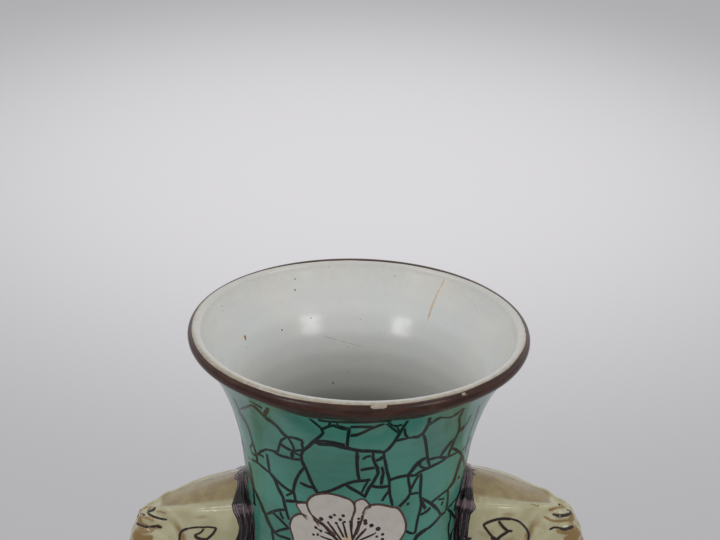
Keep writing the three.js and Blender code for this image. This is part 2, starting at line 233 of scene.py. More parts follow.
def risen(angle, z):
    """Heights on a rim that isn't quite level: one plus the cosine of the angle from the front, times the
    rise, fading out below the lip."""
    return z + RIM_RISE * (1 + np.cos(angle)) * np.clip((z - RISE_FROM_Z) / RISE_SPAN, 0, 1.2)


def round_point(radius):
    """A surface of revolution: the radius times the sine and minus the cosine of the angle from the front."""
    return lambda angle, z: np.stack([radius(z) * np.sin(angle), -radius(z) * np.cos(angle), risen(angle, z)], -1)


wall = Skin(round_point(wall_r), (1e-4, 0.02))
hollow = Skin(round_point(hollow_r), (1e-4, 0.02), outwards=-1)
print("neck and belly radius:", wall_r(335.0).round(1), wall_r(215.0).round(1))

# %% [markdown]
# Meshes are made from whole arrays. A loft joins rings of points that all have the same count, and a fan of
# triangles closes each end.


# %% Making meshes
def build(name, points, faces, materials, smooth=True, normals=None, parts=None, values=None, rides=True):
    """A mesh object from points in millimetres and faces as arrays of indices. parts gives each face its
    material, and values gives named numbers at the points."""
    faces = [np.asarray(block) for block in (faces if isinstance(faces, list) else [faces])]
    mesh = bpy.data.meshes.new(name)
    mesh.vertices.add(len(points))
    mesh.vertices.foreach_set("co", (np.asarray(points) * MM).astype(np.float32).ravel())
    counts = np.concatenate([np.full(len(block), block.shape[1]) for block in faces])
    corners = np.concatenate([block.ravel() for block in faces])
    mesh.loops.add(len(corners))
    mesh.loops.foreach_set("vertex_index", corners.astype(np.int32))
    mesh.polygons.add(len(counts))
    mesh.polygons.foreach_set("loop_start", np.concatenate([[0], np.cumsum(counts)[:-1]]).astype(np.int32))
    mesh.polygons.foreach_set("use_smooth", np.full(len(counts), smooth))
    for material in materials:
        mesh.materials.append(material)
    if parts is not None:
        mesh.polygons.foreach_set("material_index", np.asarray(parts).astype(np.int32))
    mesh.update(calc_edges=True)
    for key, numbers in (values or {}).items():
        layer = mesh.attributes.new(key, "FLOAT", "POINT")
        layer.data.foreach_set("value", np.asarray(numbers, np.float32).ravel())
    if normals is not None:
        mesh.normals_split_custom_set_from_vertices(np.asarray(normals).tolist())
    piece = bpy.data.objects.new(name, mesh)
    bpy.context.scene.collection.objects.link(piece)
    if rides:
        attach(piece, "root")
    return piece


def ring_faces(rings, around, closed=False):
    """The quads between rings of points: each point, its neighbour, and the same two on the next ring. With
    closed the last ring joins the first."""
    i = np.arange(rings if closed else rings - 1)[:, None]
    j = np.arange(around)[None]
    nxt, up = (j + 1) % around, (i + 1) % rings
    quads = np.stack([i * around + j, i * around + nxt, up * around + nxt, up * around + j], -1)
    return quads.reshape(-1, 4)


def loft(rings):
    """Points and faces of a closed skin over rings: the rings, the middle of the first and of the last, and a
    fan to each of the two."""
    count, around = rings.shape[:2]
    points = np.concatenate([rings.reshape(-1, 3), rings[:1].mean(1), rings[-1:].mean(1)])
    j = np.arange(around)
    nxt = (j + 1) % around
    start = np.stack([np.full(around, count * around), nxt, j], -1)
    end = np.stack([np.full(around, count * around + 1), (count - 1) * around + j, (count - 1) * around + nxt], -1)
    return points, [ring_faces(count, around), start, end]


# %% [markdown]
# Shaders are short formulas. A small class wraps one output of a node, so that sums and products of noise
# can be written as such. Every glaze reads the object's own coordinates, so nothing slides when it turns.


# %% Writing shaders
class Value:
    """One output of a shader node, on which the signs of arithmetic make Math nodes."""

    def __init__(self, shader, socket):
        self.shader, self.socket = shader, socket

    def math(self, operation, *others):
        return self.shader.node("ShaderNodeMath", {"operation": operation}, dict(enumerate([self, *others])))

    def __add__(self, other):
        return self.math("ADD", other)

    def __sub__(self, other):
        return self.math("SUBTRACT", other)

    def __mul__(self, other):
        return self.math("MULTIPLY", other)

    def __pow__(self, other):
        return self.math("POWER", other)

    def __rsub__(self, other):
        """Another number less this one, as this one times -1 plus the number."""
        return self.math("MULTIPLY_ADD", -1.0, other)

    __radd__, __rmul__ = __add__, __mul__

    def between(self, low, high):
        """0 below low, 1 above high and a smooth step from one to the other."""
        return self.shader.node(
            "ShaderNodeMapRange", {"interpolation_type": "SMOOTHSTEP"}, {0: self, 1: low, 2: high, 3: 0.0, 4: 1.0}
        )


class Shader:
    """A material whose nodes are made by formulas."""

    def __init__(self, name, roughness, gloss=0.4):
        self.material = bpy.data.materials.new(name)
        self.material.use_nodes = True
        self.tree = self.material.node_tree
        self.surface = self.tree.nodes["Principled BSDF"]
        self.surface.inputs["Roughness"].default_value = roughness
        self.surface.inputs["Specular IOR Level"].default_value = gloss
        self.place = self.node("ShaderNodeTexCoord", {}, {}, "Object")

    def node(self, kind, settings, inputs, output=0):
        """Any node: its settings first, then a number or a link for each input, and the output to go on with."""
        made = self.tree.nodes.new(kind)
        for key, setting in settings.items():
            setattr(made, key, setting)
        for key, given in inputs.items():
            if isinstance(given, Value):
                self.tree.links.new(given.socket, made.inputs[key])
            else:
                made.inputs[key].default_value = given
        return Value(self, made.outputs[output])

    def noise(self, grain, detail=2.0, stretch=(1, 1, 1), roughness=0.5):
        """Noise from 0 to 1 whose patches are about a grain wide, in millimetres, along each axis."""
        scaled = self.node(
            "ShaderNodeVectorMath", {"operation": "MULTIPLY"}, {0: self.place, 1: tuple(1 / (s * MM) for s in stretch)}
        )
        return self.node(
            "ShaderNodeTexNoise", {}, {"Vector": scaled, "Scale": 1 / grain, "Detail": detail, "Roughness": roughness}
        )

    def spots(self, grain):
        """The distance from scattered points that lie about a grain apart, in grains."""
        return self.node("ShaderNodeTexVoronoi", {}, {"Vector": self.place, "Scale": 1 / (grain * MM)}, "Distance")

    def axis(self, number):
        """One coordinate of the place, in metres."""
        return self.node("ShaderNodeSeparateXYZ", {}, {0: self.place}, number)

    def value(self, name):
        """A number that the mesh carries at its points."""
        return self.node("ShaderNodeAttribute", {"attribute_name": name}, {}, "Fac")

    def mix(self, share, low, high, blend="MIX"):
        """Two colours mixed by a share."""
        return self.node("ShaderNodeMix", {"data_type": "RGBA", "blend_type": blend}, {0: share, 6: low, 7: high}, 2)

    def finish(self, colour, height=None, depth=0.0, roughness=None):
        """Sets the colour, and a bump from a height between 0 and 1 that is worth a depth in millimetres."""
        for key, given in (("Base Color", colour), ("Roughness", roughness)):
            if isinstance(given, Value):
                self.tree.links.new(given.socket, self.surface.inputs[key])
            elif given is not None:
                self.surface.inputs[key].default_value = given
        if height is not None:
            bump = self.node("ShaderNodeBump", {}, {"Height": height, "Distance": depth * MM, "Strength": 1.0})
            self.tree.links.new(bump.socket, self.surface.inputs["Normal"])
        return self.material


def colour(red, green, blue):
    """A colour read off a screen, from 0 to 255, as the linear one that shaders take."""
    c = np.array([red, green, blue]) / 255
    linear = np.where(c <= 0.04045, c / 12.92, ((c + 0.055) / 1.055) ** 2.4)
    return (*linear.tolist(), 1.0)


# %% [markdown]
# The finishes. Green enamel is glass stained with copper that lies over the glaze in a layer of uneven
# thickness, so it is darker and bluer where it pooled and keeps the streaks of the broad brush. The glaze
# inside is a cool white with iron specks. The yellow on the heads is thin and greenish, turns ochre in
# hollows, and has crawled a little. Aubergine and the black of the lines are manganese. The lip is dressed
# with iron brown that wore through where hands and stoppers rubbed it.

# %% Glazes
GREEN, GREEN_DEEP, GREEN_PALE = colour(64, 124, 109), colour(46, 96, 82), colour(90, 140, 128)
WHITE, WHITE_COOL, SPECK = colour(203, 202, 197), colour(197, 200, 198), colour(120, 96, 70)
WHITE_DULL_AND_SHADE, WHITE_DEEP_SHADE = colour(176, 176, 171), colour(80, 78, 72)
LINE, LINE_SOFT = colour(12, 16, 13), colour(28, 34, 29)
BISCUIT, BISCUIT_DARK, RUBBED = colour(206, 194, 172), colour(168, 140, 104), colour(140, 130, 112)


def green_enamel(name, inked):
    """The enamel, and with inked the black that shows through it where the mesh carries ink."""
    shader = Shader(name, 0.13, 0.22 if inked else 0.36)
    pools = shader.noise(26, 3).between(0.35, 0.7)
    streaks = shader.noise(3.2, 3, stretch=(6, 6, 0.8)).between(0.3, 0.75)
    thin = shader.noise(7, 4).between(0.62, 0.86)
    base = shader.mix(pools * 0.65, GREEN, GREEN_DEEP)
    base = shader.mix(streaks * 0.12, base, GREEN_PALE)
    base = shader.mix(thin * 0.3, base, GREEN_PALE)
    if inked:
        black = shader.mix(shader.noise(2.2, 3).between(0.4, 0.75) * 0.5, LINE, LINE_SOFT)
        base = shader.mix((shader.value("ink") + 0.2 * (shader.noise(0.7, 3) - 0.5)).between(0.0, 0.6), base, black)
    ripple = shader.noise(5, 2) + 0.4 * shader.noise(1.2, 1)
    return shader.finish(base, ripple, 0.05, 0.1 + 0.1 * shader.noise(9, 3))


def white_glaze():
    shader = Shader("white_glaze", 0.12, 0.5)
    base = shader.mix(shader.noise(30, 2).between(0.3, 0.7), WHITE, WHITE_COOL)
    specks = 1 - shader.spots(11).between(0.015, 0.035)
    # Painted shade: the white goes to a dull grey lower in the neck and to a deep grey further down, where the inside
    # falls into shade.
    base = shader.mix(1 - shader.axis(2).between(0.385, 0.432), base, WHITE_DULL_AND_SHADE)
    base = shader.mix(1 - shader.axis(2).between(0.372, 0.398), base, WHITE_DEEP_SHADE)
    stains = shader.noise(14, 5).between(0.68, 0.82)
    base = shader.mix(stains * 0.25, base, colour(176, 168, 150))
    base = shader.mix(specks * 0.7, base, SPECK)
    base = shader.mix(shader.value("rubbed") * (0.55 + 0.8 * shader.noise(2.5, 5)), base, RUBBED)
    base = shader.mix(shader.noise(3, 6).between(0.45, 0.8) * 0.12, base, WHITE_DULL_AND_SHADE)
    return shader.finish(base, shader.noise(9, 3), 0.07, 0.1 + 0.2 * shader.noise(6, 4))


def biscuit():
    shader = Shader("biscuit", 0.8)
    base = shader.mix(shader.noise(4, 5).between(0.4, 0.7), BISCUIT, BISCUIT_DARK)
    return shader.finish(base, shader.noise(0.8, 4), 0.08)


green, black, white, bare = green_enamel("green_enamel", False), green_enamel("line_black", True), white_glaze(), biscuit()
print("glazes:", green.name, white.name, bare.name, black.name)

# %% [markdown]
# The wall is one closed skin: from the middle of the base out to the foot ring, up the outside, over the
# seat of the lip, down the inside and across the floor. The foot ring is wiped bare before the glaze firing.

# %% The porcelain wall
ROUND_STEPS = 240
FLOOR_Z, RECESS_Z, FOOT_RING_W, FOOT_BEVEL, FLOOR_CORNER_R = 16.5, 7.5, 8.5, 1.6, 14.0
GLAZE_EDGE_Z = 5.0
RUBBED_TO = 88.0  # degrees round the roll up to which hands have greyed the glaze most

foot_in = FOOT_R - FOOT_RING_W
base = [(2, RECESS_Z), *[(r, RECESS_Z) for r in np.linspace(8, foot_in - 5, 8)], (foot_in - 2.5, RECESS_Z - 0.4)]
ring = [(foot_in - 1, 4), (foot_in, 0.8), (foot_in + 0.8, 0), (FOOT_R - FOOT_BEVEL, 0), (FOOT_R - 0.4, 0.6 * FOOT_BEVEL)]
ring += [(FOOT_R, 1.4 * FOOT_BEVEL)]
outside_z = np.concatenate([np.linspace(GLAZE_EDGE_Z, 300, 130), np.linspace(302, LIP_SEAT_Z, 84)])
crest_arc = np.radians(np.linspace(30, 143, 28))
crest = np.stack([LIP_CENTRE_R + LIP_ROLL_R * np.cos(crest_arc), LIP_CENTRE_Z + LIP_ROLL_R * np.sin(crest_arc)], -1)
inside_z = np.concatenate([np.linspace(448.2, 330, 70), np.linspace(326, FLOOR_Z + FLOOR_CORNER_R, 56)])
inside_r = hollow_r(inside_z)
print("the inside meets the crest at", crest[-1].round(2), "with", inside_r[0].round(2), inside_z[0])
corner = np.linspace(0, np.pi / 2, 7)[1:]
corner_r = hollow_r(FLOOR_Z + FLOOR_CORNER_R) - FLOOR_CORNER_R * (1 - np.cos(corner))
corner_z = FLOOR_Z + FLOOR_CORNER_R * (1 - np.sin(corner))
floor_r = np.linspace(corner_r[-1], 2, 12)[1:]
profile = np.concatenate(
    [
        base,
        ring,
        np.stack([wall_r(outside_z), outside_z], -1),
        [(LIP_CENTRE_R - 0.4, LIP_CENTRE_Z), (LIP_CENTRE_R + 1.6, LIP_CENTRE_Z + 0.6)],
        crest,
        np.stack([inside_r, inside_z], -1),
        np.stack([corner_r, corner_z], -1),
        np.stack([floor_r, np.full(len(floor_r), FLOOR_Z)], -1),
    ]
)
angles = np.arange(ROUND_STEPS) / ROUND_STEPS * 2 * np.pi
rings = np.stack(
    [profile[:, :1] * np.sin(angles), -profile[:, :1] * np.cos(angles), risen(angles[None], profile[:, 1:])], -1
)
points, faces = loft(rings)
crest_from = len(base) + len(ring) + len(outside_z) + 2
worn_rim = np.zeros(len(profile))
worn_rim[crest_from : crest_from + len(crest)] = np.interp(np.degrees(crest_arc), [64, RUBBED_TO, 143], [1, 0.5, 0.3])
inside_from = crest_from + len(crest)
worn_rim[inside_from : inside_from + len(inside_z)] = 0.3 * np.clip((inside_z - 432) / 16, 0, 1)
worn_rim = np.concatenate([np.repeat(worn_rim, ROUND_STEPS), [0, 0]])
ring_of = faces[0][:, 0] // ROUND_STEPS
bare_from, green_from = len(base) - 1, len(base) + len(ring) - 1
white_from = green_from + len(outside_z)
parts = np.select([ring_of < bare_from, ring_of < green_from, ring_of < white_from], [1, 2, 0], 1)
parts = np.concatenate([parts, np.ones(2 * ROUND_STEPS, int)])
porcelain = build("porcelain_wall", points, faces, [green, white, bare], parts=parts, values={"rubbed": worn_rim})
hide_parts("base_section", "belly_section", "shoulder_section", "neck_section")
print("wall faces:", len(parts))

# %% [markdown]
# The lip is a separate roll that was pressed on while the clay was soft. The brown dressing is a shell over
# it, from a thin skirt on the wall below to just short of the crest, where it ends in a wavering edge. White
# glaze goes on from there, greyed by hands. Chips bare the cream-coloured body: shallow dents and a change
# of colour at once.

# %% The lip
CHIPS = [  # pixel of the middle, half length and half height in mm, depth, how far it bares the body
    ((380.5, 406.6), 2.7, 0.8, 0.35, 1.0),
    ((464.0, 394.0), 1.3, 0.7, 0.1, 0.45),
    ((524.5, 334.0), 0.8, 0.9, 0.1, 0.5),
]
LIP_STEPS = 720
BROWN, BROWN_THIN, BROWN_DARK, CHIP_CREAM = colour(64, 39, 29), colour(82, 55, 43), colour(45, 27, 21), colour(130, 114, 92)


def lip_point(angle, arc, proud=0.0):
    """A point of the roll: its centre line plus its radius turned by the arc, 0 outwards and 90 degrees up."""
    r = LIP_CENTRE_R + (LIP_ROLL_R + proud) * np.cos(arc)
    z = LIP_CENTRE_Z + (LIP_ROLL_R + proud) * np.sin(arc)
    return np.stack([r * np.sin(angle), -r * np.cos(angle), risen(angle, z)], -1)


lip_skin = Skin(lip_point, (1e-4, 1e-3))


def wander(angle, seed, waves=9):
    """A closed line that wanders between about -1 and 1: a sum of cosines with seeded sizes and phases."""
    rng = np.random.default_rng(seed)
    orders = np.arange(2, 2 + waves)[:, None]
    sizes, phases = rng.normal(0, 1, (waves, 1)) / orders**0.5, rng.uniform(0, 2 * np.pi, (waves, 1))
    return (sizes * np.cos(orders * np.ravel(angle) + phases)).sum(0) * 0.5


def dressing_edge(angle):
    """Where the dressing ends round the roll, in degrees: just outside the crest at the front and at the
    sides, well past it at the back, and wavering."""
    even = 78.5 - 29.5 * np.cos(angle) + 7 * np.cos(2 * angle) + 5.5 * np.sin(angle)
    return even + 2.2 * wander(angle, 21, 14) + 1.2 * wander(angle, 4, 60)


def skirt_edge(angle):
    """The height at which the dressing ends on the wall below: it ran down most to either side of the front."""
    turned_by = (np.degrees(angle) + 180) % 360 - 180
    sag = hump(turned_by, -17, 8) + hump(turned_by, 20, 8)
    return 442.2 - 1.8 * hump(turned_by, 0, 24) - 1.8 * sag - 0.35 * wander(angle, 61, 30) - 0.15 * wander(angle, 62, 90)


angles = np.arange(LIP_STEPS) / LIP_STEPS * 2 * np.pi
share = np.linspace(0, 1, 46)[:, None]
edge_arc = np.radians(dressing_edge(angles))
arc = np.radians(-80) + share * (edge_arc - np.radians(-80))
roll = lip_point(angles, arc, 0.06 - 0.3 * np.clip((share - 0.975) / 0.025, 0, 1))
skirt_share = np.linspace(0, 1, 9)[:-1, None]
skirt_z = skirt_edge(angles) + (LIP_SEAT_Z - skirt_edge(angles)) * skirt_share
skirt_pairs = np.stack([np.broadcast_to(angles, skirt_z.shape), skirt_z], -1).reshape(-1, 2)
skirt = wall.lifted(skirt_pairs, np.repeat(np.where(skirt_share[:, 0] > 0, 0.07, -0.2), LIP_STEPS)).reshape(*skirt_z.shape, 3)
inner = lambda r, z: np.stack([r * np.sin(angles), -r * np.cos(angles), risen(angles, z + 0 * angles)], -1)[None]
rings = np.concatenate([inner(LIP_CENTRE_R - 1.2, LIP_SEAT_Z - 0.5), skirt, roll, inner(LIP_CENTRE_R + 0.4, LIP_CENTRE_Z + 0.8)])
arc = np.concatenate([np.full((1 + len(skirt), LIP_STEPS), np.radians(-90)), arc, arc[-1:]])
chipped = np.zeros(rings.shape[:2])
for (chip_pixel, half, tall, depth, bared), seed in zip(CHIPS, (3, 8, 13)):
    middle = lip_skin.seen([chip_pixel], (-np.pi, np.radians(-20)), (np.pi, np.radians(125)))[0]
    along = (np.broadcast_to(angles, arc.shape) - middle[0] + np.pi) % (2 * np.pi) - np.pi
    along, across = along * (LIP_CENTRE_R + LIP_ROLL_R), (arc - middle[1]) * LIP_ROLL_R
    away = (np.abs(along / half) ** 2.5 + np.abs(across / tall) ** 2.5) ** 0.4
    away *= 1 + 0.22 * wander(np.arctan2(across, along), seed, 5).reshape(along.shape)
    share_in = np.clip(1.15 - away, 0, 1)
    chipped = np.maximum(chipped, bared * np.clip(share_in * 5, 0, 1))
    rings -= (depth * np.minimum(share_in * 2.2, 1))[..., None] * np.array([0, -0.7, 0.7])
worn = hump(np.degrees(arc), np.degrees(edge_arc) - 1, 5) * np.clip(0.3 + 0.9 * wander(angles, 5, 24), 0, 1)
# thin is 1 at the foot of the skirt: there the dressing thins, and the wall is painted dark as the shadow under the
# roll.
thin = np.concatenate([[0], 1 - skirt_share[:, 0], np.zeros(len(roll) + 1)])[:, None] + 0 * angles
lip = build(
    "brown_lip",
    rings.reshape(-1, 3),
    ring_faces(len(rings), LIP_STEPS, closed=True),
    [],
    values={"worn": worn, "chipped": chipped, "thin": thin},
)


def brown_dressing():
    shader = Shader("brown_dressing", 0.22, 0.22)
    base = shader.mix(shader.noise(3.5, 4, stretch=(3, 3, 0.6)).between(0.35, 0.75), BROWN_DARK, BROWN)
    base = shader.mix(shader.noise(9, 4).between(0.55, 0.8) * 0.5, base, BROWN_THIN)
    rubbed = shader.value("worn") * shader.noise(2.2, 5).between(0.4, 0.6)
    base = shader.mix(rubbed * 0.7, base, colour(140, 122, 110))
    # Painted shadow under the roll, with the thinning dressing: the foot of the skirt goes dark greenish grey.
    base = shader.mix(shader.value("thin") * 0.7, base, colour(50, 60, 52))
    base = shader.mix(shader.value("chipped"), base, CHIP_CREAM)
    rough = 0.16 + 0.5 * shader.value("chipped") + 0.1 * shader.noise(4, 4)
    return shader.finish(base, shader.noise(1.6, 4), 0.06, rough)


lip.data.materials.append(brown_dressing())
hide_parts("mouth_lip")
print("lip points:", rings.shape[0] * LIP_STEPS, "chipped:", int((chipped > 0.5).sum()))

# %% [markdown]
# Every line on the vase is one stroke of a fine brush. It is modelled as a thin closed ribbon that lies in
# the glaze and stands a few hundredths of a millimetre above it, wider where the brush pressed and pinched
# where it was lifted. Its top takes its normals from the surface beneath, so that the gloss runs on over it
# as it does under a real glaze.


# %% Strokes
def resampled(points, step, smooth=True):
    """Points about a step apart on a smooth curve through the given ones: a Catmull-Rom curve, cut at equal
    lengths."""
    points = np.asarray(points, float)
    if smooth and len(points) > 2:
        ends = np.concatenate([2 * points[:1] - points[1:2], points, 2 * points[-1:] - points[-2:-1]])
        u = np.linspace(0, 1, 9)[None, :-1, None]
        a, b, c, d = (ends[k : len(ends) - 3 + k, None] for k in range(4))
        curve = 0.5 * (2 * b + (c - a) * u + (2 * a - 5 * b + 4 * c - d) * u**2 + (3 * b - a - 3 * c + d) * u**3)
        points = np.concatenate([curve.reshape(-1, points.shape[1]), points[-1:]])
    lengths = np.concatenate([[0], np.cumsum(np.linalg.norm(np.diff(points, axis=0), axis=1))])
    count = max(2, int(round(lengths[-1] / step)) + 1)
    at = np.linspace(0, lengths[-1], count)
    return np.stack([np.interp(at, lengths, points[:, k]) for k in range(points.shape[1])], -1)


def ribbon_mesh(skin, strokes, lift=0.07, depth=0.3, seed=1, pinch=0.6, soft=0.3, uneven=0.14, reach=1, in_pixels=False):
    """Points, faces, normals and ink of closed ribbons. A stroke is its pairs of numbers and its width, in
    millimetres or in pixels as the camera sees it. Each ribbon is a ring of six points at each of its samples:
    four on top, of which the outer two carry no ink, and two below the skin. A face closes each end."""
    rng = np.random.default_rng(seed)
    pairs = np.concatenate([s for s, _ in strokes])
    counts = np.array([len(s) for s, _ in strokes])
    first = np.cumsum(counts) - counts
    which = np.repeat(np.arange(len(strokes)), counts)
    place = np.arange(len(pairs)) - first[which]
    share = place / np.maximum(counts[which] - 1, 1)
    width = np.repeat([w for _, w in strokes], counts) * (1 + uneven * rng.normal(size=len(pairs)).clip(-1.5, 1.5))
    taper = np.minimum(share, 1 - share) * counts[which]
    width = width * (pinch + (1 - pinch) * np.clip(taper / 1.5, 0, 1))
    points = skin.point(*pairs.T)
    ahead = np.minimum(np.arange(len(pairs)) + reach, (first + counts - 1)[which])
    behind = np.maximum(np.arange(len(pairs)) - reach, first[which])
    along = points[ahead] - points[behind]
    along /= np.maximum(np.linalg.norm(along, axis=1, keepdims=True), 1e-9)
    normal = skin.normal(pairs)
    side = np.cross(normal, along)
    edge = np.full(len(pairs), soft)
    if in_pixels:
        wide = np.linalg.norm(pixel_of(points + side / 2) - pixel_of(points - side / 2), axis=1)
        width, edge = (part * np.minimum(1 / np.maximum(wide, 0.1), 1.6) for part in (width, edge))
    lift = lift + rng.uniform(0, 0.02, len(strokes))[which]
    ring, rows_of = [], [(0.5, 1.0, 0.0), (0.5, 0.0, 1.0), (-0.5, 0.0, 1.0), (-0.5, -1.0, 0.0), (-0.5, -1.0, -1.0), (0.5, 1.0, -1.0)]
    for half, out, kind in rows_of:
        moved = skin.stepped(pairs, side * (half * width + out * edge)[:, None])
        ring.append(skin.lifted(moved, -depth if kind < 0 else lift - (0.03 if kind == 0 else 0)))
    ring = np.stack(ring, 1)
    ink = np.tile([0.0, 1.0, 1.0, 0.0, 0.0, 0.0], (len(pairs), 1))
    inner = np.arange(len(pairs))[place < counts[which] - 1]
    base = inner[:, None] * 6
    quads = np.concatenate([base + [k, (k + 1) % 6, (k + 1) % 6 + 6, k + 6] for k in range(6)])
    caps = np.concatenate([first[:, None] * 6 + [5, 4, 3, 2, 1, 0], (first + counts - 1)[:, None] * 6 + np.arange(6)])
    normals = np.repeat(normal[:, None], 6, axis=1)
    return ring.reshape(-1, 3), [quads, caps], normals.reshape(-1, 3), ink.ravel()


def paint(name, skin, strokes, material, slot, **how):
    """A piece made of strokes."""
    points, faces, normals, ink = ribbon_mesh(skin, strokes, **how)
    piece = build(name, points, faces, [material], normals=normals, values={"ink": ink})
    return piece


def on_skin(skin, outline, step, low, high, smooth=True):
    """The pairs of numbers of a stroke that is given in pixels."""
    return skin.seen(resampled(outline, step, smooth), low, high)


WIDTH_SEEN = 1.88  # pixels for a width of 1 in the rows below


def rows(text):
    """Strokes written one to a row, as a width and then the places they pass, all in pixels."""
    for row in text.split("\n"):
        if row.strip():
            width, *spots = row.split()
            yield WIDTH_SEEN * float(width), [tuple(map(float, spot.split(","))) for spot in spots]


# %% [markdown]
# Dots and petals are patches: closed lenses of enamel with a swollen middle.


# %% Patches
def patch_mesh(skin, outlines, lift, swell=0.1, rings=(0.3, 0.6, 0.82, 0.95, 1.0), around=56, depth=0.3):
    """Closed lenses of enamel. Each outline is shrunk towards its middle by a few shares, and a point there
    is lifted by the lift plus a swell that falls with the square of the share. The rim goes down into the
    wall, and a fan under it closes the lens. The last result tells how far in a point lies, from 0 to 1."""
    points, normals, faces, inward = [], [], [], []
    for outline, extra in outlines:
        outline = outline[np.linspace(0, len(outline), around, endpoint=False).astype(int)]
        middle = outline.mean(0)
        if np.cross(outline - middle, np.roll(outline, -1, 0) - middle).sum() * skin.outwards > 0:
            outline = outline[::-1]
        shares = np.array(rings)[:, None, None]
        pairs = (middle + (outline - middle) * shares).reshape(-1, 2)
        high = np.repeat(lift + extra + swell * (1 - np.array(rings) ** 2), len(outline))
        top = skin.lifted(pairs, high)
        rim = skin.lifted(outline, -depth)
        ends = [skin.lifted(middle[None], lift + extra + swell), skin.lifted(middle[None], -depth)]
        count, around_here = len(rings) + 1, len(outline)
        start = sum(len(block) for block in points)
        points.append(np.concatenate([top, rim, *ends]))
        inward.append(np.concatenate([np.repeat(1 - np.array(rings), around_here), np.zeros(around_here), [1.0, 0.0]]))
        n = skin.normal(pairs)
        normals.append(np.concatenate([n, n[-around_here:], np.repeat(skin.normal(middle[None]), 2, 0)]))
        j = np.arange(around_here)
        nxt = (j + 1) % around_here
        top_middle, low_middle = count * around_here, count * around_here + 1
        fan = np.stack([np.full(around_here, top_middle), nxt, j], -1)
        last = (count - 1) * around_here
        low = np.stack([np.full(around_here, low_middle), last + j, last + nxt], -1)
        faces.append((ring_faces(count, around_here) + start, np.concatenate([fan, low]) + start))
    quads = np.concatenate([q for q, _ in faces])
    fans = np.concatenate([f for _, f in faces])
    return np.concatenate(points), [quads, fans], np.concatenate(normals), np.concatenate(inward)


def disc(skin, middle, radius, count=10):
    """The outline of a small disc on a skin, by steps of its radius from its middle."""
    turn = np.arange(count) / count * 2 * np.pi
    middle = np.repeat(np.reshape(middle, (1, 2)), count, 0)
    _, p, q = skin.slopes(middle)
    p = p / np.linalg.norm(p, axis=1, keepdims=True)
    q = q / np.linalg.norm(q, axis=1, keepdims=True)
    return skin.stepped(middle, radius * (p * np.cos(turn)[:, None] + q * np.sin(turn)[:, None]))


def soft_glaze(name, ground, tint, other):
    """A stain that fades into the ground at its edges."""
    shader = Shader(name, 0.2)
    stain = shader.mix(shader.noise(1.5, 3).between(0.35, 0.75), tint, other)
    return shader.finish(shader.mix(shader.value("ink") * shader.noise(3, 3).between(0.2, 0.55), ground, stain))


def plain_glaze(name, tint, other):
    """A glossy colour that drifts towards another."""
    shader = Shader(name, 0.18, 0.3)
    return shader.finish(shader.mix(shader.noise(1.5, 3).between(0.35, 0.75), tint, other), shader.noise(4, 2), 0.04)
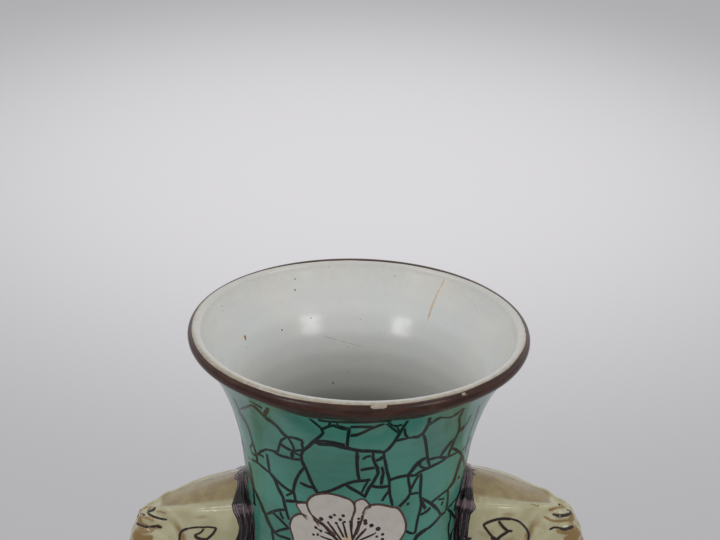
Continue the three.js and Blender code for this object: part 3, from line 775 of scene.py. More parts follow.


# %% [markdown]
# Cracked ice is drawn as large panes that leave narrow bands between them, and the bands are filled with
# splinters. On the front of the neck the strokes follow the photograph one by one.

# %% The ice on the front of the neck
# One row, the long thin stroke through rows 419 to 422 just under the lip, is the painted shadow of the roll, not a
# crack.
NECK_STROKES = """
0.5 234.3,399.5 236.5,404.5 238.5,409
0.8 238.5,410 245,407.5 252.3,404.8
1.1 252.3,404.8 257.7,409.5 262.7,414.5 267.7,419 272.7,422.4 276.8,426.2 281,430.8 284.3,435.3 287.2,436.8
0.5 249,400.5 257,405 262,408
1.7 268.3,408 266.3,411.5 264.2,415.2
0.9 238.5,411 242.7,417 246.8,424.5 249.8,432 251.8,439.5 253.9,446.2 256,452.8 256.6,455.6
0.9 252.6,443 250.8,444.5 250.2,448.7 252.7,453.7 256.2,456.2
1.0 256.6,455.8 259.3,452.4 263.5,450.3 268.5,449 272.7,450.8 277.7,451.6
1.0 277.7,451.8 279.3,446.2 280.2,442 282.7,438.7 286.8,437
0.9 272.7,450.8 276,453.3 281,455.8 287.7,457.4 292.7,458.9
0.9 280.6,444 286,447.8 291.8,450.6 296,450.8 303.5,449.5
0.9 287.7,437 291,442 293.5,447 294.3,450.3
1.0 287.2,436.8 291.8,437.4 296,438.4 300,439.6 302.7,440.8
1.5 292.7,450.3 292.2,455 292.2,459.8
1.5 256.6,455.6 256.8,458.5 257.5,462
0.9 248.5,457.8 253.5,460.3 257.7,462.4 261.8,466.2 266.8,470.3 270,472.8
1.1 259.3,454 261.5,454.8 263.8,457
1.1 266.8,453.8 267.7,458.7 268.5,465.3 269.8,471.4
0.8 248.8,462 250.2,467 251.3,473 252.7,480.3 253.6,485.5 254.4,489.5
1.0 248.3,470.3 250.2,477.8 252.7,485.3 254.8,490.3 257.7,496.2 260.6,502.8 262.7,508.7 265.6,514.5
0.9 253,487.8 254,495.3 254.8,503
1.5 254.3,503.6 257.5,503 261,502.6
1.9 254.6,502.6 254.9,505.2
0.9 269.6,472.3 273.5,477 278.5,482 284.3,487 290,491 292.8,492
1.1 273.5,477 276,482 278.5,488.7 281.8,494.5 283.5,498.7 284.8,505.3 286,510.3 287.7,515.3 289,519.5
1.1 284.2,500.8 290,501 296,501.4 301.7,502.5 306,503
1.0 286.2,495.6 288.5,495 292.5,492.6
1.0 265.6,514.8 270.2,512.6 276,510.6 282.7,509.4 285.8,510
0.8 272.7,512.4 277.7,517 282.7,522 287.8,527.2
0.6 280,510.5 281.5,516 283.5,519
1.1 265.6,514.7 268.5,522 271.4,527.8 274.8,532.8
0.9 274.8,532.4 279.3,530.3 286.8,528.5 289.3,528
0.9 275,533.2 279.3,535.8 286,537.8 290.5,539.5
0.9 271.8,529 273,537 274.2,543 276,552
1.2 302.5,440.8 302,445 303.8,449.4
1.4 304.5,449.6 309.2,445.8 314.2,440.8 319.2,437 323.2,432.8
1.1 323.2,432.8 322,429.2 317.5,425 312.5,420.8 309.5,418.5
1.5 322,429.2 326.7,427 330,425.4 335,425.6 340,427.2 344,428.3 348.6,429
1.4 330.3,420.5 329.6,423 329.2,425.8
1.3 349.3,427.5 348.5,434.2 347.5,440.8 347.5,447.5
0.9 314.2,441 322.5,440.8 328.3,441.7 336.7,443 345,444.8
1.3 314.2,441.7 320.8,444 325.8,444.3 331.7,444.4 340,446.3 348.3,448.2 355,449.9 360,450.7 366.7,450.9 375,451.3 383.6,452.2
1.3 350,435.6 353.5,435.4 358.3,434.4 365,431.6 371.7,428.2 378.3,425.8 384,423.8
0.9 350.5,427 356,426.8 364,426.8 372.5,426.8
0.8 318,419.6 326,421.2 340,421.9 352,422.2 366,422 380,421.3 392,420.5
0.7 337,422.5 338,427
1.1 386.5,423.6 391,427 396.7,431.5 398.8,433
0.9 388,421.5 393,425.6 397.5,426 402,424.5
0.6 396.5,426 398,429.5 400,432
1.3 383.6,452.4 388.3,449.2 392.5,444.2 396.7,438.3 400,432.5 403.3,427.5 405.8,423.3 407.8,420.5
0.9 394.6,441.2 401.7,439.2 407.5,438.2
1.1 404.6,428.5 405,432.5 405.6,435.8 407.5,438 413.3,437 418.3,436.7 420.8,435.3 422.3,433.5
1.3 304.2,449.6 301,455 301.7,460 303.8,465 306.7,470.5 310.8,480.8 313.3,485.8 315.8,490.8 317.8,493.4
1.7 300.5,450.5 304.5,449.6
0.6 293.3,452 296.7,454.2 300.5,455.8
0.8 292.5,459 295,459.3 301.2,459.6
1.2 304.4,467.3 300.5,471.8 297,477.5 294.6,484.2 293.4,490 294.6,495.4 295.6,500.8
0.9 300,482.5 305,485 310,487 313.5,487.7
1.0 317.8,493.4 322.5,492.4 327.5,491.5 333.3,489.6 339.2,487 345,484.2 350,482.6 355,481.3 360,480.8 366.7,480.4 370.5,479.4
1.1 345.5,484.6 348.5,486.8 355,490.4 360,493.3 364,496
1.3 357,451 357.2,456.7 357,463.3 357.5,470 358.3,476.5 359.6,480.8
1.3 373.3,451.5 372.9,456.7 374.2,461.7 376.7,466.7 378.6,471 377.5,474.5 375.8,477.5 372.5,483.3 369.2,487.5 366.7,492.5 364.4,497.8
0.8 368.3,480.6 365,485.8 361.7,492.5
1.1 374.2,461.4 379.2,459.3 383.3,457.9 384.8,454.5
1.1 383.6,452.4 384.4,458.3 385.6,463.3 386.7,470 388.3,475.8 389.6,480.8 389.2,486.7 389.6,493.3 390.8,498.3 391.7,502.5 392.5,505.8
0.7 362.5,459.4 365.8,457 370.8,455.8
1.0 360.6,470.2 366.7,468.8 374.5,467.8
1.3 381.8,466.7 382.9,470 383.3,473.3 382,478.3 381.3,484.6
1.1 370.3,485.6 375,486.7 381.7,487 389.2,485.9
0.9 388.5,491.5 385,495.8 382,501
1.1 389.4,480.2 395,478 401.7,476.3 408.3,475.4 414.5,475.5
1.3 407.8,475 411.7,470.9 415,466.2 419.6,461.8 424.2,458.4 427.6,457.4
1.0 414.5,475.7 420.8,471.2 426.7,468.7 431.7,466.2 437.5,463.5 440.8,461.7 446.7,457.7
1.0 408.3,475.8 408.3,480 409.2,485 410.4,489.2 410,493.6 407.5,498.3 403.3,502.5 399.2,506.7
0.8 419,474.8 415.5,480 413,485 410.8,489.4
1.3 421,473.5 421,480.3 420.5,487 420.2,493.7 420.2,497.5
0.8 410.2,494.2 414.2,493.3 420,492.6
1.3 420.2,497.2 425,500.2 430,502.8 434.2,506.2 437.5,509.5 440,512.8 440.8,515.3
1.5 420.4,498.7 422.5,503.7 425.4,508.7
1.0 420.6,499 420.9,504 420.4,509 418.5,515.3 417,522 415.8,528.7 414.9,533.5
0.9 418,515.4 422.5,513.7 426.7,511.2 430.4,507.4
0.8 430.6,503 435,499.5 439.2,496.2 443.3,492.8 447.6,489.8
1.1 447.6,489.8 450.8,485.3 454.2,480.3 455.8,474.5 457.5,468.7 459,462.5 461.3,457
1.0 447.9,489.9 447.9,495.3 447.5,501.2 446.7,507 445.8,511.2
0.9 445.6,511.2 440.8,515.3 435.8,521.2 430.8,526.2 425.8,529.5
1.5 425.8,529.5 420.8,532.8 416.7,536.2 414,541
1.1 446.6,508.2 450.8,512 454.2,517 456.7,521.4
0.7 448.3,507.4 451.7,503.7 455,499.5 458.3,496.2
0.6 461.7,477.8 460.4,485.3 460,490.3 457.5,497 455.4,503.7 454.4,511
1.2 455.4,502.5 454.5,510
1.2 453.8,478.2 458.3,477.4 462.5,477 464.8,476
0.9 438.3,499.5 440.8,498.3 444.2,498.7
0.6 442.7,501.5 441.3,505.3
0.7 450,512.8 450.8,516.2 449.2,522 448.3,528.7 449.2,541
0.8 456.7,523.7 452.5,529.5 450.8,534.5 450.6,541
1.5 429.7,417.5 429.2,422.5 427,427 424.2,431.7 421.8,435
1.1 429.4,424.6 433.3,422 437.5,418.8 441.7,417.2
1.1 423.4,434.6 425.4,440 426.3,446.7 427,453.3 427.9,459.4 429.6,466
1.0 427.9,459.6 433.3,458.3 439.2,457 443.3,457.5 447.5,457 451.7,455 455.8,453.3 458.5,451.3
0.9 420.4,461.4 419.4,465.6 425,468.3 430,466.8
0.9 454.8,438.8 450.8,442.5 447.5,446.3 444.2,450.8 440.8,456
1.1 455.4,438.3 453.3,443.3 451.3,447.9 449.2,452.5 447.9,457
1.0 463.6,409.5 461.5,413.5 459.2,417 459.6,423.3 459.2,429.2 457.9,433.3 455.4,438.3
0.8 459.2,431.3 463.3,427.5 466.7,423.3 469.2,419.2 470.8,415.5
0.8 441.7,417.6 450,417.4 455,415 459.2,411.7 464,408
1.1 451.4,447.9 456.7,450 460,452.5 462.5,456.7 463.8,461.7 464.6,467.5
0.6 470.5,437.5 467.5,443.3 465,447 462.3,450.3
0.5 479.5,406 476,417 471,430 467.5,441 465.5,452
0.6 461.5,459 459.4,465 457.8,471
0.7 467.5,476 463.5,486 461,495.3 460,502 458.3,510.3 456.8,519
0.5 465,470 463.5,478 462.5,484
0.9 406,531.4 410,533 414.6,533.4
1.5 405.6,531.2 408,531.8
1.1 407.8,502.6 408,505
"""
FRONT_LOW, FRONT_HIGH = (-1.5, 300.0), (1.5, 442.5)
front = [(on_skin(wall, spots, 5.5, FRONT_LOW, FRONT_HIGH), width) for width, spots in rows(NECK_STROKES)]
print("strokes on the neck:", len(front), "lowest height:", round(min(s[:, 1].min() for s, _ in front), 1))

# %% [markdown]
# Over the rest of the vase the same ice is grown. Points are scattered so that no two come closer than a
# pane's width, each point owns the part of the wall nearest to it, and every side of a pane is drawn in by
# its own amount. Where that is nothing, two panes share a line. Elsewhere a band is left, and rungs cut it
# into splinters. The scatter is made on an unrolled wall, whose height is stretched so that shapes stay true.

# %% The ice on the rest of the wall
PANE_NECK, PANE_BELLY = 15.0, 23.0  # smallest distance between the middles of two panes
ICE_LOW, ICE_HIGH = 9.0, 441.5
HAND_ANGLE, HAND_Z = np.radians(74), 338.5  # the front of the neck, where strokes are traced

fine_z = np.linspace(0, LIP_SEAT_Z, 2000)
fine_length = np.hypot(1, np.gradient(wall_r(fine_z), fine_z)) / wall_r(fine_z)
fine_rise = np.concatenate([[0], np.cumsum((fine_length[1:] + fine_length[:-1]) / 2 * np.diff(fine_z))])
rise_of = lambda z: np.interp(z, fine_z, fine_rise)
height_of = lambda rise: np.interp(rise, fine_rise, fine_z)


def pane_width(z):
    """The least distance between panes, from that of the neck to that of the belly as the wall widens."""
    return PANE_NECK + (PANE_BELLY - PANE_NECK) * np.clip((wall_r(z) - 52) / 50, 0, 1)


def scattered(seed, tries=9000):
    """Points on the unrolled wall: each try is kept if nothing lies closer than a pane's width."""
    rng = np.random.default_rng(seed)
    tried = np.stack([rng.uniform(-np.pi, np.pi, tries), rng.uniform(rise_of(ICE_LOW) - 0.15, rise_of(ICE_HIGH) + 0.3, tries)], -1)
    least = pane_width(height_of(tried[:, 1])) / wall_r(height_of(tried[:, 1])) * rng.uniform(0.8, 1.35, tries)
    kept = np.empty((0, 2))
    for spot, reach in zip(tried, least):
        gap = kept - spot
        gap[:, 0] = (gap[:, 0] + np.pi) % (2 * np.pi) - np.pi
        if not (np.hypot(*gap.T) < reach).any():
            kept = np.concatenate([kept, [spot]])
    return kept


def sides_of_panes(seeds, rng):
    """The two drawn-in lines of every side and the width of the band between them. Three neighbouring seeds
    meet in a corner, and each of the three panes has its own corner there: the spot that lies half way to
    either neighbour, less how far that side is drawn in, which is the solution of two equations."""
    count = len(seeds)
    spots = np.concatenate([seeds + [turn, 0] for turn in (0, -2 * np.pi, 2 * np.pi)])
    triangles = np.array(delaunay_2d_cdt([Vector(spot) for spot in spots], [], [], 0, 1e-9)[2])
    band = np.triu(rng.choice([0.0, 0.0, 1.0, 1.0, 1.0], (count, count)) * rng.uniform(2.2, 6.5, (count, count)), 1)
    split = np.triu(rng.uniform(0.3, 0.7, (count, count)), 1)
    drawn = band * split + (band * (1 - split)).T
    corners = []
    for k in range(3):
        own, one, two = (triangles[:, (k + step) % 3] for step in range(3))
        to_one, to_two = spots[one] - spots[own], spots[two] - spots[own]
        far_one, far_two = np.linalg.norm(to_one, axis=1), np.linalg.norm(to_two, axis=1)
        scale = wall_r(height_of(spots[own, 1]))
        half_one = far_one / 2 - drawn[own % count, one % count] / scale
        half_two = far_two / 2 - drawn[own % count, two % count] / scale
        lines = np.stack([to_one / far_one[:, None], to_two / far_two[:, None]], 1)
        corners.append(spots[own] + np.linalg.solve(lines, np.stack([half_one, half_two], -1)[..., None])[..., 0])
    corners = np.stack(corners, 1)
    tri = np.tile(np.arange(len(triangles)), 3)
    start = np.repeat(np.arange(3), len(triangles))
    a, b = triangles[tri, start], triangles[tri, (start + 1) % 3]
    order = np.lexsort((np.maximum(a, b), np.minimum(a, b)))
    same = (np.diff(np.minimum(a, b)[order]) == 0) & (np.diff(np.maximum(a, b)[order]) == 0)
    p, q = order[:-1][same], order[1:][same]
    line_a = np.stack([corners[tri[p], start[p]], corners[tri[q], (start[q] + 1) % 3]], 1)
    line_b = np.stack([corners[tri[p], (start[p] + 1) % 3], corners[tri[q], start[q]]], 1)
    wide = drawn[a[p] % count, b[p] % count] + drawn[b[p] % count, a[p] % count]
    middle = (spots[a[p], 0] + spots[b[p], 0]) / 2
    once = (middle >= -np.pi) & (middle < np.pi)
    across = (spots[b[p]] - spots[a[p]])[:, ::-1] * [-1, 1]
    ahead = ((line_a[:, 1] - line_a[:, 0]) * across).sum(-1) * ((line_b[:, 1] - line_b[:, 0]) * across).sum(-1) > 0
    return line_a[once & ahead], line_b[once & ahead], wide[once & ahead]


def cut_to_wall(lines, widths):
    """Lines of the unrolled wall as strokes on the real one: sampled every few millimetres, and broken where
    they leave the wall or enter the traced part of the neck."""
    reach = np.linalg.norm(lines[:, 1] - lines[:, 0], axis=1) * wall_r(height_of(lines[..., 1].mean(1)))
    counts = np.maximum(2, np.ceil(reach / 4.5).astype(int) + 1)
    which = np.repeat(np.arange(len(lines)), counts)
    place = np.arange(len(which)) - np.repeat(np.cumsum(counts) - counts, counts)
    share = (place / (counts[which] - 1))[:, None]
    flat = lines[which, 0] + (lines[which, 1] - lines[which, 0]) * share
    pairs = np.stack([flat[:, 0], height_of(flat[:, 1])], -1)
    turned = (pairs[:, 0] + np.pi) % (2 * np.pi) - np.pi
    traced = (np.abs(turned) < HAND_ANGLE) & (pairs[:, 1] > HAND_Z)
    inside = ~traced & (flat[:, 1] > rise_of(ICE_LOW)) & (flat[:, 1] < rise_of(ICE_HIGH))
    cuts = np.flatnonzero((np.diff(which) != 0) | (np.diff(inside.astype(int)) != 0)) + 1
    runs = np.split(np.arange(len(pairs)), cuts)
    return [(pairs[run], widths[which[run[0]]]) for run in runs if inside[run[0]] and len(run) > 1]


rng = np.random.default_rng(14)
seeds = scattered(7)
line_a, line_b, wide = sides_of_panes(seeds, rng)
reach = np.linalg.norm(line_a[:, 1] - line_a[:, 0], axis=1) * wall_r(height_of(line_a[..., 1].mean(1)))
rungs = np.where(wide > 0, reach / rng.uniform(3.5, 8.5, len(reach)), 0).astype(int)
side_of = np.repeat(np.arange(len(rungs)), rungs)
order = np.arange(len(side_of)) - np.repeat(np.cumsum(rungs) - rungs, rungs)
start = ((order + rng.uniform(0.2, 0.8, len(order))) / rungs[side_of])[:, None]
lean = rng.uniform(-0.6, 0.6, len(order)) * wide[side_of] / reach[side_of]
end = np.clip(start + lean[:, None], 0, 1)
rung_lines = np.stack(
    [
        line_a[side_of, 0] + (line_a[side_of, 1] - line_a[side_of, 0]) * start,
        line_b[side_of, 0] + (line_b[side_of, 1] - line_b[side_of, 0]) * end,
    ],
    1,
)
grown = cut_to_wall(line_a, rng.choice([0.75, 0.85, 1.0, 1.3], len(line_a)))
grown += cut_to_wall(line_b[wide > 0], rng.choice([0.75, 0.85, 1.0], (wide > 0).sum()))
grown += cut_to_wall(rung_lines, rng.choice([0.6, 0.75], len(rung_lines)))
print("panes:", len(seeds), "sides:", len(line_a), "rungs:", len(rung_lines))


def border(points, wobble, seed):
    """A crack that closes off the ice, with corners that stray from the given line."""
    points = resampled(points, 0.22, smooth=False)
    return points + np.random.default_rng(seed).normal(0, 1, points.shape) * wobble


hand_rise, top_rise, low_rise = rise_of(HAND_Z), rise_of(ICE_HIGH), rise_of(ICE_LOW)
frames = [
    border([(-HAND_ANGLE, top_rise), (-HAND_ANGLE, hand_rise), (HAND_ANGLE, hand_rise), (HAND_ANGLE, top_rise)], 0.02, 5),
    border([(HAND_ANGLE, top_rise), (2 * np.pi - HAND_ANGLE, top_rise)], 0.0, 6),
    border([(0, low_rise), (2 * np.pi, low_rise)], 0.0, 7),
]
for flat in frames:
    steps = np.stack([flat[:-1], flat[1:]], 1)
    count = 6
    share = np.linspace(0, 1, count)[None, :, None]
    for spot in steps[:, :1] + (steps[:, 1:] - steps[:, :1]) * share:
        grown.append((np.stack([spot[:, 0], height_of(spot[:, 1])], -1), 0.85))

paint("ice_lines_traced", wall, front, black, "green_enamel", in_pixels=True, lift=0.08, pinch=0.75, soft=0.9)
for name, chosen in (
    ("ice_lines_neck", [s for s in grown if s[0][:, 1].mean() > 250]),
    ("ice_lines_shoulder", [s for s in grown if 165 < s[0][:, 1].mean() <= 250]),
    ("ice_lines_base", [s for s in grown if s[0][:, 1].mean() <= 165]),
):
    lines = paint(name, wall, chosen, black, "green_enamel", pinch=0.75, soft=0.4)
    print(name, "strokes:", len(chosen), "faces:", len(lines.data.polygons))

# %% [markdown]
# The white inside has had a life too: a hairline crack that took up a tan stain, iron specks from the clay, a
# spot of rust, and a few scratches near the rim.

# %% Marks inside the mouth
HAIRLINE = "0.62 448.3,270.6 444.5,279 441.5,286 438,292 435,299 432,306 430,313 427,321"
SPECKS = "0.75 295,279\n0.9 295,290\n0.7 311,318\n0.9 282,330\n0.9 333,383\n0.6 395,276\n0.6 222,306\n0.6 211,301\n0.5 223,311\n0.5 348,372"
RUST = "2.0 245,337\n1.1 245.6,339.4\n0.5 247,347\n0.5 232,304"
SCRATCHES = "0.15 324,336 336,339.5 350,343.5 364,346.5\n0.15 236,290 243,283 251,277\n0.15 470,300 476,307 480,313"
INSIDE_LOW, INSIDE_HIGH = (1.2, 330.0), (2 * np.pi - 1.2, 448.2)
TAN, RUST_BROWN, IRON, SCRATCH = colour(188, 172, 150), colour(170, 124, 66), colour(74, 66, 58), colour(176, 174, 168)
for name, text, tint, other in (
    ("hairline_crack", HAIRLINE, TAN, colour(174, 154, 130)),
    ("scratches", SCRATCHES, SCRATCH, colour(168, 166, 160)),
):
    strokes = [(on_skin(hollow, spots, 5.0, INSIDE_LOW, INSIDE_HIGH), width) for width, spots in rows(text)]
    paint(name, hollow, strokes, soft_glaze(name, WHITE, tint, other), "green_enamel", lift=0.03, depth=0.2, in_pixels=True, soft=0.8)
for name, text, tint, other in (("iron_specks", SPECKS, IRON, colour(96, 84, 70)), ("rust_spots", RUST, RUST_BROWN, colour(120, 84, 50))):
    spots = [(disc(hollow, hollow.seen(spots, INSIDE_LOW, INSIDE_HIGH)[0], 0.5 * width / WIDTH_SEEN), 0.0) for width, spots in rows(text)]
    points, faces, normals, inward = patch_mesh(hollow, spots, lift=0.015, swell=0.02, rings=(0.6, 1.0), around=10, depth=0.2)
    piece = build(name, points, faces, [plain_glaze(name, tint, other)], normals=normals)

# %% [markdown]
# Plum blossoms lie over the ice. A petal is a patch of opaque white enamel with a brown outline, laid on
# thickly enough to feel. The one at the front follows the photograph, which shows the upper half of it, and
# the rest of the vase carries more of the same kind, with buds between them.


# %% Petals
def closed_outline(points, count=240):
    """A smooth closed curve through the given points, as a number of equal steps."""
    points = np.asarray(points, float)
    looped = np.concatenate([points[-2:], points, points[:3]])
    curve = resampled(looped, 1e-9 + np.linalg.norm(np.diff(looped, axis=0), axis=1).sum() / (3 * count))
    start, end = (np.linalg.norm(curve - points[0], axis=1) < 1e9).argmax(), None
    near = np.linalg.norm(curve - points[0], axis=1)
    half = len(curve) // 2
    start, end = near[:half].argmin(), half + near[half:].argmin()
    loop = curve[start:end]
    return loop[np.linspace(0, len(loop), count, endpoint=False).astype(int)]


HERO_PETALS = [  # extra lift, then the outline in pixels; what lies below row 540 is guessed
    (0.0, "297.5,503 302,502.9 307,503.4 309,509 313,517 320,527 328,536 316,528 304,516 299.2,509.2 296.7,505"),
    (0.0, "355,502.5 358.3,500 361.7,499 365.8,500.4 369.2,504.2 371,506.2 367,510 363,518 358,530 353,540 351.5,528 352.5,518 354.6,512.5 355,508.3"),
    (0.01, "348,548 338,551 326,556 314,564 308,576 312,589 324,597 338,595 348,584 352,570 352,556"),
    (0.01, "352,548 352,560 354,574 362,587 375,594 389,590 396,578 394,565 384,556 370,551 360,548"),
    (0.02, "290.2,523.7 291.8,518.7 293.3,516.7 297.5,514.2 301.7,513.8 305.8,515.4 310.8,518.3 314,520.5 320,523 330,530 342,541 346,547 340,554 324,560 308,558 296,546 292.7,535.3 290.6,528.7"),
    (0.03, "361.7,518.3 362,515 363.8,510.8 366.7,506.9 370,505.6 372.5,504.8 378.3,504.3 385,505.4 391.7,507 396.7,507.6 400,510.4 403.3,515.8 405.4,521.7 405.8,526.7 404.6,531.7 402,536.7 399,541 392,549 380,555 366,553 355,547 354,541 358,530"),
    (0.04, "318.3,520 315,517.5 310.8,513.3 308.3,508.3 307,503.3 308.3,500 310.8,497 314.2,495 320,493.8 326.7,493.3 335,494.6 343.3,497 349.2,499.2 353.3,502.5 355,508 354.4,512 352.5,516.7 351.7,520 351.5,528 350.5,536 349,545 342,542 332,532 323,523.5"),
]
HERO_STAMENS = """
0.85 328.3,522.4 331.5,526.5 337,534 343,542
0.75 321.6,523.4 325.5,527.2 329.5,532 334,537 339,542
0.85 336.5,522.8 338.5,526.5 341.5,532.5 346,541
0.85 342.5,521.8 344.2,526.5 345.6,532.5 348,541
0.9 350.8,521.3 351,528 351.8,534 352.5,541
0.85 358.6,522 357.4,527.5 355.2,533 352.8,540
0.85 366.3,528.2 362.5,532.2 358,537 354,542
0.8 376,532.3 372,534.6 365.5,537.4 357,541
0.75 320.5,535.5 326,538 331,539.6 338,542
0.8 325,531.5 331,534.6 336,537.6 341,543
0.75 316.5,527.6 319,529.4 321.5,531
0.75 330,556 338,551 345,547
0.75 340,562 345,555 349,548
0.75 354,564 353,556 352,548
0.75 367,560 361,554 356,547
0.75 376,550 367,548 358,545
"""
HERO_DOTS = """
0.7 316,527.2
0.65 321,530.6
0.6 313.6,534.3
0.65 318,534.3
0.95 321.4,518.6
0.5 321.3,523.2
0.5 328.2,522
0.85 330.8,516.8
0.65 334.6,514.7
0.65 336.4,522.7
0.75 340.3,519.3
0.75 343.3,515.4
0.6 344.4,521.6
0.6 350.4,521.4
0.6 358.6,518.4
0.75 358.8,521.9
0.8 365.2,520.4
0.85 365.4,523
0.95 371.4,525.2
1.05 378,528.5
0.7 382.5,534
0.6 376.6,536.3
0.75 382.3,539
0.7 328,557
0.7 339,564
0.7 354,567
0.7 369,562
0.7 379,551
"""
PETAL_WHITE, PETAL_GREY, OUTLINE, STAMEN, HEART = colour(177, 170, 163), colour(160, 152, 144), colour(60, 42, 36), colour(32, 24, 20), colour(176, 150, 96)


def petal_white():
    shader = Shader("petal_white", 0.2)
    base = shader.mix(shader.noise(5, 4).between(0.35, 0.75) * 0.45, PETAL_WHITE, PETAL_GREY)
    base = shader.mix(shader.noise(0.9, 3).between(0.6, 0.8) * 0.2, base, PETAL_GREY)
    return shader.finish(base, shader.noise(2.5, 3), 0.06, 0.16 + 0.12 * shader.noise(5, 3))


petal, outline_brown, stamen_black = petal_white(), plain_glaze("outline_brown", OUTLINE, colour(84, 56, 46)), plain_glaze("stamen_black", STAMEN, colour(52, 38, 30))
heart_ochre = soft_glaze("heart_ochre", PETAL_WHITE, HEART, colour(150, 132, 88))


petals, edges, threads, dots = [], [], [], []
for extra, text in HERO_PETALS:
    outline = [tuple(map(float, spot.split(","))) for spot in text.split()]
    loop = wall.seen(closed_outline(outline, 112), FRONT_LOW, FRONT_HIGH)
    petals.append((loop, extra))
    edges.append((np.concatenate([loop, loop[:1]])[::2], 0.9 if extra > 0.015 else 0.7, extra))
threads += [(on_skin(wall, spots, 5.0, FRONT_LOW, FRONT_HIGH), 1.15 * width / WIDTH_SEEN) for width, spots in rows(HERO_STAMENS)]
dots += [disc(wall, wall.seen(spots, FRONT_LOW, FRONT_HIGH)[0], 1.2 * size / WIDTH_SEEN) for size, spots in rows(HERO_DOTS)]
hero_heart = disc(wall, wall.seen([(347, 543)], FRONT_LOW, FRONT_HIGH)[0], 7.5, 24)
hearts = [hero_heart]


def unrolled(angle, z, flat):
    """Pairs of numbers for points drawn flat about a spot on the wall: the flat step over the radius there is
    an angle across and a rise up the unrolled wall."""
    radius = float(wall_r(z))
    flat = np.asarray(flat, float)
    return np.stack([angle + flat[:, 0] / radius, height_of(rise_of(z) + flat[:, 1] / radius)], -1)


def turned(flat, angle):
    """Flat points turned about their origin."""
    c, s = np.cos(angle), np.sin(angle)
    return np.asarray(flat) @ np.array([[c, s], [-s, c]])


BLOSSOM_R, BUD_R = 25.0, 7.5


def blossom(angle, z, size, spin, rng):
    """Five petals round a heart, each a rounded leaf that is widest at three fifths of its length, with its
    stamens and their heads."""
    order = rng.permutation(5)
    for rank, k in enumerate(order):
        u = np.linspace(0, 2 * np.pi, 112, endpoint=False)
        reach = size * (0.56 + 0.44 * np.cos(u)) * (1 + 0.04 * np.cos(3 * u + rng.uniform(0, 6)))
        side = size * 0.41 * np.sin(u) * (1 - 0.18 * np.cos(u)) * rng.uniform(0.9, 1.08)
        leaf = turned(np.stack([side, np.maximum(reach, 0.1 * size)], -1), spin + 2 * np.pi * k / 5 + rng.uniform(-0.08, 0.08))
        loop = unrolled(angle, z, leaf)
        petals.append((loop, 0.012 * rank))
        edges.append((np.concatenate([loop, loop[:1]])[::4], 0.8, 0.012 * rank))
    hearts.append(unrolled(angle, z, size * 0.26 * np.stack([np.cos(u), np.sin(u)], -1)[::5]))
    for k in range(15):
        way = spin + 2 * np.pi * (k + rng.uniform(-0.3, 0.3)) / 15
        far = size * rng.uniform(0.42, 0.6)
        thread = turned(np.array([[0, 0.1 * size], [rng.uniform(-0.4, 0.4), far * 0.55], [0, far]]), way)
        threads.append((unrolled(angle, z, resampled(thread, 3.5)), 0.5))
        dots.append(disc(wall, unrolled(angle, z, turned([[0, far + 0.8]], way))[0], rng.uniform(0.5, 0.95)))


def bud(angle, z, size, spin):
    """A round bud in three brown sepals."""
    u = np.linspace(0, 2 * np.pi, 112, endpoint=False)
    loop = unrolled(angle, z, turned(size * np.stack([0.92 * np.sin(u), np.cos(u)], -1), spin))
    petals.append((loop, 0.0))
    edges.append((np.concatenate([loop, loop[:1]])[::4], 0.8, 0.0))
    for lean in (-0.75, 0.0, 0.75):
        tip = turned([[0, -1.05 * size], [0.3 * size * lean, -0.75 * size], [0.75 * size * lean, -0.25 * size]], spin)
        threads.append((unrolled(angle, z, resampled(tip, 2.5)), 2.0))


rng = np.random.default_rng(33)
BANDS = [(398, 1, 180, 0.72), (352, 2, 122, 0.95), (296, 3, 20, 0.95), (238, 5, 36, 1.05), (172, 5, 0, 1.1), (108, 5, 36, 0.95), (52, 4, 20, 0.8)]
for z, count, first, size in BANDS:
    for k in range(count):
        angle = np.radians(first + (116 if z == 352 else 360 / count) * k) + rng.uniform(-0.07, 0.07)
        blossom(angle, z + rng.uniform(-7, 7), BLOSSOM_R * size, rng.uniform(0, 6.28), rng)
for z, count, first in ((318, 3, 80), (268, 4, 0), (205, 6, 8), (140, 6, 22), (80, 5, 0), (30, 5, 30)):
    for k in range(count):
        bud(np.radians(first + 360 / count * k) + rng.uniform(-0.12, 0.12), z + rng.uniform(-5, 5), BUD_R * rng.uniform(0.85, 1.15), rng.uniform(0, 6.28))

points, faces, normals, inward = patch_mesh(wall, petals, lift=0.15)
petal_piece = build("plum_petals", points, faces, [petal], normals=normals)
points, faces, normals, inward = patch_mesh(
    wall, [(heart, 0.0) for heart in hearts], lift=0.22, rings=(0.2, 0.4, 0.6, 0.8, 1.0), around=24
)
heart_piece = build("plum_hearts", points, faces, [heart_ochre], normals=normals, values={"ink": inward})
points, faces, normals, inward = patch_mesh(wall, [(dot, 0.0) for dot in dots], lift=0.3, swell=0.08, rings=(0.6, 1.0), around=10)
dot_piece = build("stamen_heads", points, faces, [stamen_black], normals=normals)
paint("stamens", wall, threads, stamen_black, "green_enamel", lift=0.29, pinch=0.6, soft=0.1)
for level in sorted({extra for *_, extra in edges}):
    loops = [(loop, width) for loop, width, extra in edges if extra == level]
    paint(f"petal_outlines_{round(1000 * level)}", wall, loops, outline_brown, "green_enamel", lift=0.19 + level, pinch=1.0, soft=0.1)
print("petals:", len(petals), "stamens:", len(threads), "dots:", len(dots))

# %% [markdown]
# The handles are elephant heads, pressed in two half moulds and luted to the neck by the forehead and by the
# curled tip of the trunk. Each one is a single skin here. It follows the same table of sections as the
# solids: where the middle of a section lies, how far it reaches up, down and sideways, and how square its
# brow and jaw are. On top of that lies what the mould and the modelling tool leave: the sharp brow edge, the
# rim of the eye, creases where the trunk begins, and its folds.

